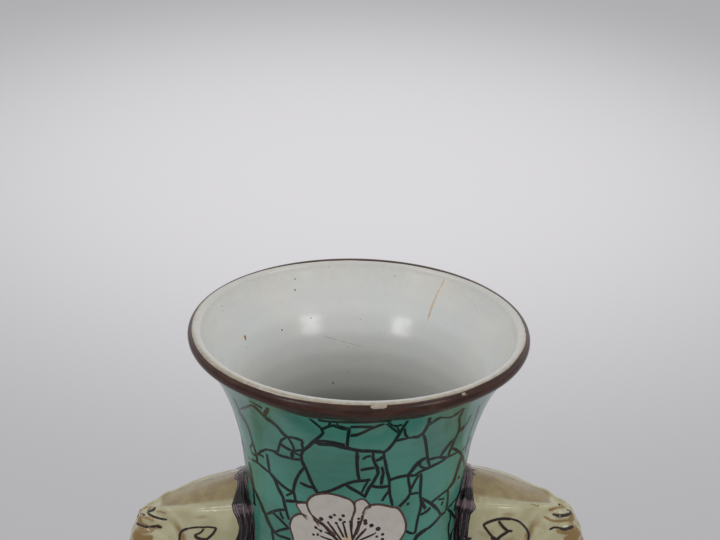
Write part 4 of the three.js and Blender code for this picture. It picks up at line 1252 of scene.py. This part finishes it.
# %% The elephant heads
HEAD_Z = 348.6
SETTINGS = {"right": (2.6, 1.5, -4.0, 1), "left": (-2.6, 0.0, 0.0, -1)}  # lift, out, droop in degrees, side
ROOT_DEPTH, TIP_DEPTH, JAW_HEIGHT, TRUNK_START = 8.0, 13.0, 0.72, 0.37
FOLD_PITCH, FOLD_DEPTH = 6.2, 0.9
HEAD_SHAPE = [  # out, up, above, below, side, brow, drop, widest, jaw
    (-ROOT_DEPTH, 3, 22.5, 21, 22, 0.96, 0.46, -0.3, 0.7),
    (8, -0.5, 20.5, 20, 19.5, 0.94, 0.39, -0.25, 0.74),
    (24, -5.5, 17.5, 17, 16, 0.8, 0.24, -0.2, 0.76),
    (37, -11.5, 16, 14, 12.5, 0.55, 0.13, -0.1, 0.74),
    (48, -23, 11, 10.8, 10.4, 0.66, 0.22, 0, 0.72),
    (49, -37.5, 9.2, 9, 9, 0.71, 0.29, 0, 0.71),
    (39, -51, 8, 7.8, 7.8, 0.71, 0.29, 0, 0.71),
    (22, -56, 6.9, 6.7, 6.7, 0.71, 0.29, 0, 0.71),
    (None, -55, 6.2, 6, 6.2, 0.71, 0.29, 0, 0.71),
]


def catmull_rom(a, b, c, d, u):
    """The curve between the middle two of four values, whose slope at each is that between its neighbours."""
    return 0.5 * (2 * b + (c - a) * u + (2 * a - 5 * b + 4 * c - d) * u**2 + (3 * b - a - 3 * c + d) * u**3)


class Head:
    """One head, set on the neck by a lift, a distance out and a droop, on one side of the vase."""

    def __init__(self, lift, out, droop, side):
        self.z = HEAD_Z + lift
        self.x = float(plain_r(self.z)) + out
        self.droop, self.side = np.radians(droop), side
        tip_out = float(plain_r(self.z + HEAD_SHAPE[-1][1]) - plain_r(self.z)) - TIP_DEPTH
        self.table = np.array([*HEAD_SHAPE[:-1], (tip_out, *HEAD_SHAPE[-1][1:])], float)
        ts = np.linspace(0, 1, 201)
        middles = self.station(ts)[:, :2]
        self.lengths = np.concatenate([[0], np.cumsum(np.linalg.norm(np.diff(middles, axis=0), axis=1))])
        self.ts = ts
        self.skin = Skin(self.point, (1e-3, 1e-3))

    def station(self, t):
        """The table's row at t, from 0 at the root to 1 at the trunk's tip."""
        last = len(self.table) - 1
        k = np.minimum(np.floor(np.clip(t, 0, 1) * last).astype(int), last - 1)
        u = (np.clip(t, 0, 1) * last - k)[..., None]
        return catmull_rom(*(self.table[np.clip(k + step, 0, last)] for step in (-1, 0, 1, 2)), u)

    def trunk_length(self, t):
        """Millimetres along the trunk, counted from its first fold."""
        at = np.interp(t, self.ts, self.lengths)
        return at - np.interp(TRUNK_START, self.ts, self.lengths)

    def section(self, rows, turn, extra):
        """Across and up at a share of a turn from the top: a closed curve through the top, brow, widest point,
        jaw and bottom on both sides, moved outwards by extra."""
        above, below, side, brow, drop, widest, jaw = np.moveaxis(rows[..., 2:], -1, 0)
        half = [(brow * side, above * (1 - drop)), (side, widest * side), (jaw * side, -JAW_HEIGHT * below)]
        none = 0 * above
        spots = [(none, above), *half, (none, -below), *[(-x, y) for x, y in half[::-1]]]
        spots = np.stack([np.stack(spot, -1) for spot in spots], -2)

        def at(v):
            k = np.mod(v, 1) * 8
            low = np.floor(k).astype(int)
            near = [np.take_along_axis(spots, ((low + n) % 8)[..., None, None], -2)[..., 0, :] for n in (-1, 0, 1, 2)]
            return catmull_rom(*near, (k - low)[..., None])

        gap = at(turn - 0.01) - at(turn + 0.01)
        outwards = np.stack([gap[..., 1], -gap[..., 0]], -1)
        outwards /= np.linalg.norm(outwards, axis=-1, keepdims=True)
        return at(turn) + outwards * extra[..., None]

    def relief(self, t, turn):
        """How far the modelled surface stands out from the plain section, in millimetres: humps for brow, eye
        and cheek, creases at the root of the trunk, and folds that are the absolute value of a cosine along
        the trunk."""
        turn = np.mod(turn, 1)
        way = np.minimum(turn, 1 - turn) * 360
        brow = 1.2 * hump(t, 0.22, 0.08) * hump(way, 47, 12)
        edge = 1.2 * hump(way, 39 - 24 * np.clip(t - 0.2, 0, 0.2), 7) * bend(np.clip((0.42 - t) / 0.12, 0, 1), 2)
        eyeball = 1.5 * hump(t, 0.22, 0.045) * hump(way, 80, 16)
        hollow_by_eye = -1.3 * hump(t, 0.31, 0.04) * hump(way, 78, 26)
        cheek = 2 * hump(t, 0.17, 0.07) * hump(way, 132, 22)
        along = self.trunk_length(t)
        fold = np.abs(np.cos(np.pi * along / FOLD_PITCH)) - 0.6
        fade = np.clip((along - 9) / 8, 0, 1) * np.clip((1 - t) * 6, 0, 1)
        outer = 0.55 + 0.45 * np.cos(np.radians(way))
        knuckle = 2.8 * hump(t, 0.42, 0.06) * hump(way, 0, 75)
        set_in = (-5.6 if self.side > 0 else -3.2) * hump(t, 0, 0.07) * hump(way, 80, 50)
        flat_brow = (0.0 if self.side > 0 else -1.0) * hump(t, 0.14, 0.09) * hump(way, 0, 45)
        face = brow + edge + eyeball + hollow_by_eye + cheek + knuckle + set_in + flat_brow
        return face + FOLD_DEPTH * fold * fade * outer + self.creases(t, way)

    def creases(self, t, way):
        """Soft folds across the face where the trunk begins and two grooves between them, on lines that run
        further out towards the top."""
        line = t + 0.0014 * way
        folds = 0.7 * hump(line, 0.385, 0.016) + 0.9 * hump(line, 0.442, 0.016) + 0.9 * hump(line, 0.5, 0.018)
        grooves = hump(line, 0.415, 0.007) + hump(line, 0.47, 0.007)
        return (folds - 0.5 * grooves) * hump(way, 25, 42)

    def point(self, t, turn, extra=0.0):
        """The point at t and a share of a turn from the top, kept from sinking deeper into the wall than its
        own embedding, by moving it straight out from the axis of the vase."""
        t, turn = np.broadcast_arrays(np.asarray(t, float), np.asarray(turn, float))
        row = self.station(t)
        slope = self.station(np.clip(t + 0.01, 0, 1))[..., :2] - self.station(np.clip(t - 0.01, 0, 1))[..., :2]
        slope /= np.linalg.norm(slope, axis=-1, keepdims=True)
        flat = self.section(row, turn, extra + self.relief(t, turn))
        out = row[..., 0] - slope[..., 1] * flat[..., 1]
        up = row[..., 1] + slope[..., 0] * flat[..., 1]
        return self.placed(out, flat[..., 0], up)

    def placed(self, out, across, up):
        """A point of the table where the head is set: turned by the droop, moved out to the neck, and turned
        round to its side."""
        c, s = np.cos(self.droop), np.sin(self.droop)
        x, z = self.x + c * out + s * up, self.z - s * out + c * up
        return np.stack([self.side * x, self.side * across, z], -1)


def sunk(points, depth):
    """Points that lie deeper inside the wall than a depth, moved straight out from the axis to that depth."""
    radius = np.hypot(points[..., 0], points[..., 1])
    least = wall_r(points[..., 2]) - depth
    grow = np.maximum(radius, least) / np.maximum(radius, 1e-6)
    return np.concatenate([points[..., :2] * grow[..., None], points[..., 2:]], -1)


YELLOW, YELLOW_PALE, OCHRE = colour(158, 152, 118), colour(172, 167, 136), colour(120, 90, 40)
OLIVE_SHADED, OLIVE_SHADED_DARK, OLIVE_SHADED_DEEP = colour(140, 124, 84), colour(126, 108, 72), colour(98, 80, 50)
AUBERGINE, LILAC_AND_SHEEN, IVORY, IVORY_OLD = colour(22, 18, 20), colour(138, 118, 122), colour(214, 206, 188), colour(186, 168, 130)


def yellow_enamel():
    shader = Shader("yellow_enamel", 0.1, 0.5)
    base = shader.mix(shader.noise(9, 4).between(0.35, 0.7), YELLOW, YELLOW_PALE)
    mottle = shader.noise(4, 5) - 0.5
    # The top of each head is olive: browner enamel there, and painted shade, since the top gets less light than the
    # side.
    crown_tint_and_shade = (shader.value("crown_tint_and_shade") + 0.5 * mottle).between(0.15, 0.75)
    shaded_olive = shader.mix(shader.noise(5, 4).between(0.3, 0.7), OLIVE_SHADED, OLIVE_SHADED_DARK)
    shaded_olive = shader.mix(shader.noise(1.2, 3).between(0.6, 0.78) * 0.5, shaded_olive, OLIVE_SHADED_DEEP)
    base = shader.mix(crown_tint_and_shade, base, shaded_olive)
    low = shader.value("hollow") * (0.6 + 0.8 * shader.noise(4, 4))
    stain = shader.noise(12, 4).between(0.6, 0.78) * 0.5
    base = shader.mix(low.between(0.2, 0.9) * 0.9, base, OCHRE)
    base = shader.mix(stain, base, OCHRE)
    base = shader.mix(shader.noise(1.1, 3).between(0.62, 0.75) * 0.25, base, OCHRE)
    crawl = shader.noise(2.2, 4) + 0.5 * shader.noise(0.9, 2)
    return shader.finish(base, crawl, 0.14, 0.05 + 0.1 * shader.noise(3, 4))


yellow = yellow_enamel()
heads = {word: Head(*setting) for word, setting in SETTINGS.items()}
HEAD_LONG, HEAD_ROUND = 380, 180
HEAD_STEPS = [0, 80, 250, 379], [0.0, 0.3, 0.56, 1.0]  # most of the rings lie where the creases are
POOLS = (  # where enamel pooled to ochre: place along and round the head, size along and round, strength
    (0.31, 76, 0.022, 24, 0.8),
    (0.2, 51, 0.035, 4, 0.6),
    (0.375, 44, 0.02, 7, 0.75),
    (0.455, 44, 0.03, 18, 1.2),
    (0.38, 14, 0.014, 12, 0.9),
    (0.42, 24, 0.012, 14, 1.0),
    (0.235, 84, 0.03, 10, 0.55),
)
WASHES = {  # strokes of ochre that pooled along the creases
    "left": """
1.2 143,509 149,506.5 153,508
1.0 140,516 146,517.5 153,520
0.7 157,511 165,513
1.2 139,523 150,527.5 158,527.5
2.0 139,530 147,531 153,529
2.2 136,536 144,538 150,538
""",
    "right": """
1.1 550,510 557,507.5 566,507
1.0 545,517 552,520.5 562,521 574,519
1.4 558,531 566,533 574,531 579,525
2.0 566,539 574,537 580,533
0.8 531,504 538,506
""",
}
FACE_SEEN = {"right": ((0.06, 0.5), (0.47, 1.06)), "left": ((0.06, -0.06), (0.47, 0.5))}
T_PER_MM, WAY_PER_MM = 0.0085, 2.7  # how fast the two numbers of a head run, about
for word, head in heads.items():
    t, turn = np.meshgrid(np.interp(np.arange(HEAD_LONG), *HEAD_STEPS), np.arange(HEAD_ROUND) / HEAD_ROUND, indexing="ij")
    rings = sunk(head.point(t, turn), 2.2)
    points, faces = loft(rings)
    way = np.minimum(turn, 1 - turn) * 360
    # crown_tint_and_shade marks the top of the head, which is painted olive, partly as shade.
    crown_tint_and_shade = bend(np.clip((37 - way) / 16, 0, 1), 1.6) * bend(np.clip((0.37 - t) / 0.05, 0, 1), 2)
    along = head.trunk_length(t)
    hollows = (np.abs(np.cos(np.pi * along / FOLD_PITCH)) < 0.35) * np.clip((along - 9) / 8, 0, 1) * 0.8
    for pool_t, pool_way, long, tall, strength in POOLS:
        hollows += strength * hump(t, pool_t, long) * hump(way, pool_way, tall)
    for width, spots in rows(WASHES[word]):
        for wash_t, wash_turn in head.skin.seen(resampled(spots, 1.5), *FACE_SEEN[word]):
            across = (way - min(wash_turn % 1, -wash_turn % 1) * 360) / WAY_PER_MM
            hollows = np.maximum(hollows, hump(np.hypot((t - wash_t) / T_PER_MM, across), 0, 0.8 * width / WIDTH_SEEN))
    pad = lambda number: np.concatenate([number.ravel(), [0, 0]])
    piece = build(f"{word}_head", points, faces, [yellow], values={"crown_tint_and_shade": pad(crown_tint_and_shade), "hollow": pad(hollows)})
    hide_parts(f"{word}_head_front", f"{word}_head_back")
    print(word, "head points:", len(points))

# %% [markdown]
# The face is finished with a few brush strokes in black: the lids, the iris, and one stroke along each
# crease. They are ribbons again, laid on the head's own skin. The back of each head, which the photograph
# doesn't show, gets the same strokes mirrored, those on the trunk a little lower.

# %% Strokes on the heads
LEFT_FACE = """
0.8 179.4,543 179.6,537 180.2,533.5 182.5,530.6
0.95 180.4,533 182.5,530.6 188,528.4
0.6 188,528.4 193,527.6 199,527
0.55 199,527 204,527.3 208,526.9 216.4,527.8
1.0 216.4,527.8 213.2,533.4 208,538.2 204,541
0.7 203.9,528.8 200.5,532.6 194.6,535
1.2 194.4,535 198,538 203,539.5
1.0 195,537 200,539 206,539
0.7 141,513.6 143,514.6 145,515
1.2 154.9,507.5 154.6,509.4
0.9 155.2,509.4 151,510.8 147.4,512.5
0.8 147.4,512.5 149.8,514.8 154.4,516.8 159.8,518.6 167,519.6
1.1 136.8,523.4 139.5,524.8
0.9 137,523.8 141.6,525.5 147,526.9 154.4,526.2 159.5,525.4
1.2 157.5,526.4 161.8,527.2
"""
RIGHT_FACE = """
1.0 483.2,525 487.7,522.3 495,519.8 500,518.8
1.15 497,519.2 504,518.6 511.4,518.9
0.75 511.4,518.9 518.6,521.3 524,526 527.6,531 528.8,536 527.7,542
0.95 483.2,525 487.7,531 492.3,536.4 498.6,540
1.25 498.6,521 503,526.8 507.7,531
1.0 507,530.6 512.3,531.2
1.15 508,531.6 500.5,536.2 497,540
1.3 491,537.5 498,541.5
1.3 556,515.3 560,515.7 565,515.2 571,513.4
0.8 552.6,514.2 558,515.5
0.9 571,513.4 570.2,511.2 567,509.8
0.8 549.5,529.6 554,527.4 559.5,527.9
1.4 559.5,528.2 564,529.2 568,528.4 573.2,526.4
0.8 558.3,504.3 559.6,505
"""
for word, text in (("left", LEFT_FACE), ("right", RIGHT_FACE)):
    head = heads[word]
    strokes, mirrored = [], []
    for width, spots in rows(text):
        pairs = head.skin.seen(resampled(spots, 1.2), *FACE_SEEN[word])
        strokes.append((pairs, width))
        lower = 0.06 * head.side * (pairs[:, 0].mean() > TRUNK_START - 0.04)
        mirrored.append((np.stack([pairs[:, 0], 1 - pairs[:, 1] + lower], -1), 0.45 * width))
    print("strokes on the", word, "face:", len(strokes))
    paint(f"{word}_head_strokes", head.skin, strokes, stamen_black, "aubergine_enamel", lift=0.26, uneven=0.05, reach=3, in_pixels=True, soft=0.3)
    paint(f"{word}_head_strokes_back", head.skin, mirrored, stamen_black, "aubergine_enamel", lift=0.26, uneven=0.05, reach=3, soft=0.15)

# %% [markdown]
# The ears lie back against the neck as a fold of aubergine locks. A fold rises from the face on one side,
# swells, and comes down on the green on the other. Its two edges run in and out in pointed locks. Where the
# photograph shows it, the edge on the face follows it, and the rest is guessed.

# %% Ears and tusks
EAR_EDGES = {  # pixels of the edge on the face, then rows and how lilac they are, lilac enamel together with painted sheen
    "left": (
        "245.3,467.7 237,471 233,478.5 237,480.5 236.6,486.4 233.5,496.4 231,504.5 232.3,512 236,518.7 238.5,527 237.7,533.7 235.2,540",
        "467,.5 480,.5 487,.35 494,.1 503,.05 506,.5 513,.6 517,.15 540,.12",
    ),
    "right": (
        "470,463.2 477,466.8 473.5,470 473.6,475.5 472.5,484 473.2,491 475,502.7 476.8,507.3 476,509.5 471.4,514.5 469.5,523.6 468.6,532.7 467.7,540",
        "463,.5 470,.6 486,.6 491,.2 499,.2 503,.6 509,.6 513,.2 540,.12",
    ),
}
EAR_FACE = [(0.45, 8.0), (0.55, 8.5), (0.63, 7.0), (0.72, 9.0), (0.8, 6.5), (0.9, 8.0), (1.0, 2.0)]  # share, reach in mm
EAR_WALL = [(0.0, 0.8), (0.1, 1.5), (0.2, 0.9), (0.28, 2.4), (0.33, 1.0), (0.45, 1.6), (0.6, 2.5), (0.7, 4.5), (0.78, 3.0), (0.88, 5.0), (1.0, 2.0)]
EAR_END, EAR_SEEN = 0.42, 0.5  # share of a turn at which the ear ends, and share of the ear that shows
EAR_THICK, STRANDS = 1.5, 7
ROOT_SHARE = 0.8  # share of the way across the fold at which it passes over its root


def listed(text):
    """Pairs of numbers from a text."""
    return np.array([spot.split(",") for spot in text.split()], float)


def ear_rings(word, head, across=44):
    """Rings round the fold at shares of the way down. The root of the fold is where the head's skin leaves
    the wall, found by halving. Between its two edges the fold stands up by a half ellipse, with strands of
    hair that sway along it. The second result tells how lilac each point is: lilac enamel on the strands,
    and painted sheen on them and on the rows where the fold catches the light."""
    side = -head.side
    share = np.concatenate([np.linspace(0, EAR_SEEN, 110), np.linspace(EAR_SEEN, 1, 60)[1:]])
    turn = np.mod(side * (0.004 + (EAR_END - 0.004) * share), 1)
    low, high = np.zeros(len(share)), np.full(len(share), 0.16)
    for _ in range(30):
        t = (low + high) / 2
        p = head.point(t, turn)
        inside = np.hypot(p[:, 0], p[:, 1]) < wall_r(p[:, 2])
        low, high = np.where(inside, t, low), np.where(inside, high, t)
    root = head.point(high, turn)
    pairs = np.stack([high, turn], -1)
    _, out, _ = head.skin.slopes(pairs)
    out /= np.linalg.norm(out, axis=1, keepdims=True)
    spot = np.stack([np.arctan2(root[:, 0], -root[:, 1]), root[:, 2]], -1)
    normal = wall.normal(spot)
    away = root - head.placed(0.0, 0.0, 0.0)
    away -= (away * normal).sum(-1, keepdims=True) * normal
    away /= np.linalg.norm(away, axis=1, keepdims=True)
    face_pairs = head.skin.stepped(pairs, out * np.interp(share, *np.array(EAR_FACE).T)[:, None])
    wall_pairs = wall.stepped(spot, away * np.interp(share, *np.array(EAR_WALL).T)[:, None])
    face_px, tones = (listed(text) for text in EAR_EDGES[word])
    row = pixel_of(root)[:, 1]
    row = np.interp(row, [row[0], np.interp(EAR_SEEN, share, row)], [face_px[0, 1], IMAGE_H])
    shown = np.clip((EAR_SEEN + 0.06 - share) / 0.06, 0, 1)[:, None]
    low, high = ((0.0, 0.55), (0.3, 1.02)) if head.side > 0 else ((0.0, -0.02), (0.3, 0.45))
    seen_face = head.skin.seen(np.stack([np.interp(row, face_px[:, 1], face_px[:, 0]), row], -1), low, high)
    face_pairs = shown * seen_face + (1 - shown) * face_pairs
    face_edge, wall_edge = head.skin.point(*face_pairs.T), wall.point(*wall_pairs.T)
    u = np.linspace(0, 1, across)[None, :]
    over = np.clip(u / ROOT_SHARE, 0, 1)[..., None]
    on_head = (face_pairs[:, None] * (1 - over) + pairs[:, None] * over).reshape(-1, 2)
    over = np.clip((u - ROOT_SHARE) / (1 - ROOT_SHARE), 0, 1)[..., None]
    on_wall = (spot[:, None] * (1 - over) + wall_pairs[:, None] * over).reshape(-1, 2)
    whole = lambda flat: flat.reshape(len(share), across, 3)
    base = np.where(u[..., None] < ROOT_SHARE, whole(head.skin.point(*on_head.T)), whole(wall.point(*on_wall.T)))
    lean = bend((u[..., None] - 0.35) / 0.6, 2)
    up = whole(head.skin.normal(on_head)) * (1 - lean) + whole(wall.normal(on_wall)) * lean
    up /= np.linalg.norm(up, axis=-1, keepdims=True)
    stand = head.skin.normal(pairs) + wall.normal(spot)
    stand /= np.linalg.norm(stand, axis=1, keepdims=True)
    k, long = np.arange(STRANDS)[:, None, None], share[:, None]
    lines = (k + 0.5) / STRANDS + 0.07 * np.sin(9 * long + 2.4 * k) + 0.05 * np.sin(21 * long + 1.7 * k)
    strands = hump(u, lines, 0.02).max(0)
    arch = np.sin(np.pi * u) ** 0.6
    size = EAR_THICK * np.sin(np.pi * np.clip(share * 0.96 + 0.02, 0, 1)) ** 0.35
    top = base + up * ((size[:, None] + 0.3 * (strands - 0.4)) * arch - 0.25)[..., None]
    v = np.linspace(1, 0, 6)[None, 1:-1, None]
    under = root[:, None] - 1.6 * stand[:, None] * np.sin(np.pi * v)
    under = under + 0.6 * ((face_edge - root)[:, None] * (1 - v) + (wall_edge - root)[:, None] * v)
    tone = np.interp(row, *tones.T)[:, None]
    lilac_and_sheen = np.clip(tone + (0.3 + 0.3 * (share[:, None] > 0.3)) * strands, 0, 1)
    return np.concatenate([top, under], 1), np.concatenate([lilac_and_sheen, np.zeros((len(share), 4))], 1)


def aubergine_enamel():
    shader = Shader("aubergine_enamel", 0.14, 0.25)
    # The lilac on the ears is partly lilac enamel in the strands and partly a painted sheen on their ridges.
    strand = shader.value("lilac_and_sheen") + 0.35 * (shader.noise(1.2, 3) - 0.5)
    base = shader.mix(strand.between(0.32, 1.1), AUBERGINE, LILAC_AND_SHEEN)
    base = shader.mix(shader.noise(3, 3).between(0.5, 0.8) * 0.3, base, colour(70, 54, 56))
    return shader.finish(base, shader.noise(1.4, 3), 0.05, 0.12 + 0.1 * shader.noise(3, 3))


def ivory_enamel():
    shader = Shader("ivory_enamel", 0.2)
    base = shader.mix(shader.noise(6, 4).between(0.4, 0.75), IVORY, IVORY_OLD)
    return shader.finish(base, shader.noise(2, 3), 0.05)


def tusk_rings(head, side, stations=40, around=24):
    """Rings round a bent cone, along a quadratic curve of three points."""
    t = np.linspace(0, 1, stations)[:, None]
    a, b, c = (head.placed(out, side * across, up) for out, across, up in ((22, 9, -20), (40, 17, -32), (55, 16.5, -25)))
    path = (1 - t) ** 2 * a + 2 * t * (1 - t) * b + t**2 * c
    along = 2 * (1 - t) * (b - a) + 2 * t * (c - b)
    along /= np.linalg.norm(along, axis=1, keepdims=True)
    sideways = np.cross(along, [0, 0, 1.0])
    sideways /= np.linalg.norm(sideways, axis=1, keepdims=True)
    upwards = np.cross(sideways, along)
    turn = np.arange(around) / around * 2 * np.pi
    r = (3.1 + (0.8 - 3.1) * t**1.4) * np.sqrt(np.clip((1.012 - t) / 0.05, 0, 1).clip(0, 1))
    return path[:, None] + r[..., None] * (np.cos(turn)[None, :, None] * sideways[:, None] + np.sin(turn)[None, :, None] * upwards[:, None])


aubergine, ivory = aubergine_enamel(), ivory_enamel()
for word, head in heads.items():
    front_ear, lilac_and_sheen = ear_rings(word, head)
    for name, y in (("front", -1), ("back", 1)):
        side = y * head.side
        rings = front_ear if y < 0 else front_ear * [1, -1, 1]
        if y * head.side > 0:
            rings, lilac_and_sheen = rings[:, ::-1], lilac_and_sheen[:, ::-1]
        points, faces = loft(rings)
        piece = build(f"{word}_{name}_ear", points, faces, [aubergine], values={"lilac_and_sheen": np.append(lilac_and_sheen, [0, 0])})
        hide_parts(f"{word}_ear_{name}")
        points, faces = loft(tusk_rings(head, side))
        piece = build(f"{word}_{name}_tusk", points, faces, [ivory])
        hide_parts(f"{word}_tusk_{name}")

# %% [markdown]
# The vase stands in a light tent: soft light from all round, and two soft boxes low at the front, whose
# pale patches show on the far wall of the mouth. A lamp of its own brightens the floor behind, as it would
# a backdrop. Its cone ends short of the vase.

# %% Floor and light
SKY_LEVEL, LAMP_FAR = 0.88, 1.25
SOFT_BOXES = (  # degrees from the front towards +X, degrees above the mouth's level, width, height, strength
    (46.5, 20.0, 0.4, 0.2, 5.8),
    (-40.4, 20.0, 0.4, 0.2, 5.8),
    (74.0, 53.0, 0.7, 0.14, 4.5),
    (-74.0, 53.0, 0.7, 0.14, 4.5),
)
BACK_LAMP_AT, BACK_LAMP_CONE, BACK_LAMP_LEVEL = (0.0, 1.36, 1.4), np.radians(63), 46.0


def floor_paper():
    """Pale paper with a hardly visible grain."""
    shader = Shader("floor_paper", 0.9)
    return shader.finish(shader.mix(shader.noise(3, 3) * 0.3, (0.465, 0.457, 0.469, 1.0), (0.435, 0.427, 0.439, 1.0)))


corners = np.array([[-9e3, -9e3, 0], [9e3, -9e3, 0], [9e3, 9e3, 0], [-9e3, 9e3, 0.0]])
floor = build("floor", corners, np.array([[0, 1, 2, 3]]), [floor_paper()], rides=False)

world = bpy.data.worlds.new("tent")
world.use_nodes = True
world.node_tree.nodes["Background"].inputs["Color"].default_value = (0.985, 0.985, 1.0, 1)
world.node_tree.nodes["Background"].inputs["Strength"].default_value = SKY_LEVEL
bpy.context.scene.world = world

for number, (turn, lift, wide, tall, level) in enumerate(SOFT_BOXES):
    turn, lift = np.radians(turn), np.radians(lift)
    way = np.array([np.cos(lift) * np.sin(turn), -np.cos(lift) * np.cos(turn), np.sin(lift)])
    lamp = bpy.data.objects.new(f"soft_box_{number}", bpy.data.lights.new(f"soft_box_{number}", "AREA"))
    lamp.data.shape = "ELLIPSE"
    lamp.data.size, lamp.data.size_y = wide, tall
    lamp.data.energy = level * np.pi * wide * tall
    right = np.cross([0, 0, 1.0], way)
    right /= np.linalg.norm(right)
    axes = np.stack([right, np.cross(way, right), way], 1)
    lamp.matrix_world = Matrix([[*row, place] for row, place in zip(axes, way * LAMP_FAR + [0, 0, 0.42])] + [[0, 0, 0, 1]])
    bpy.context.scene.collection.objects.link(lamp)

back_lamp = bpy.data.objects.new("back_lamp", bpy.data.lights.new("back_lamp", "SPOT"))
back_lamp.data.spot_size, back_lamp.data.spot_blend = BACK_LAMP_CONE, 1.0
back_lamp.data.shadow_soft_size, back_lamp.data.energy = 0.1, BACK_LAMP_LEVEL
back_lamp.location = BACK_LAMP_AT
bpy.context.scene.collection.objects.link(back_lamp)

bpy.context.scene.view_settings.view_transform = "Standard"
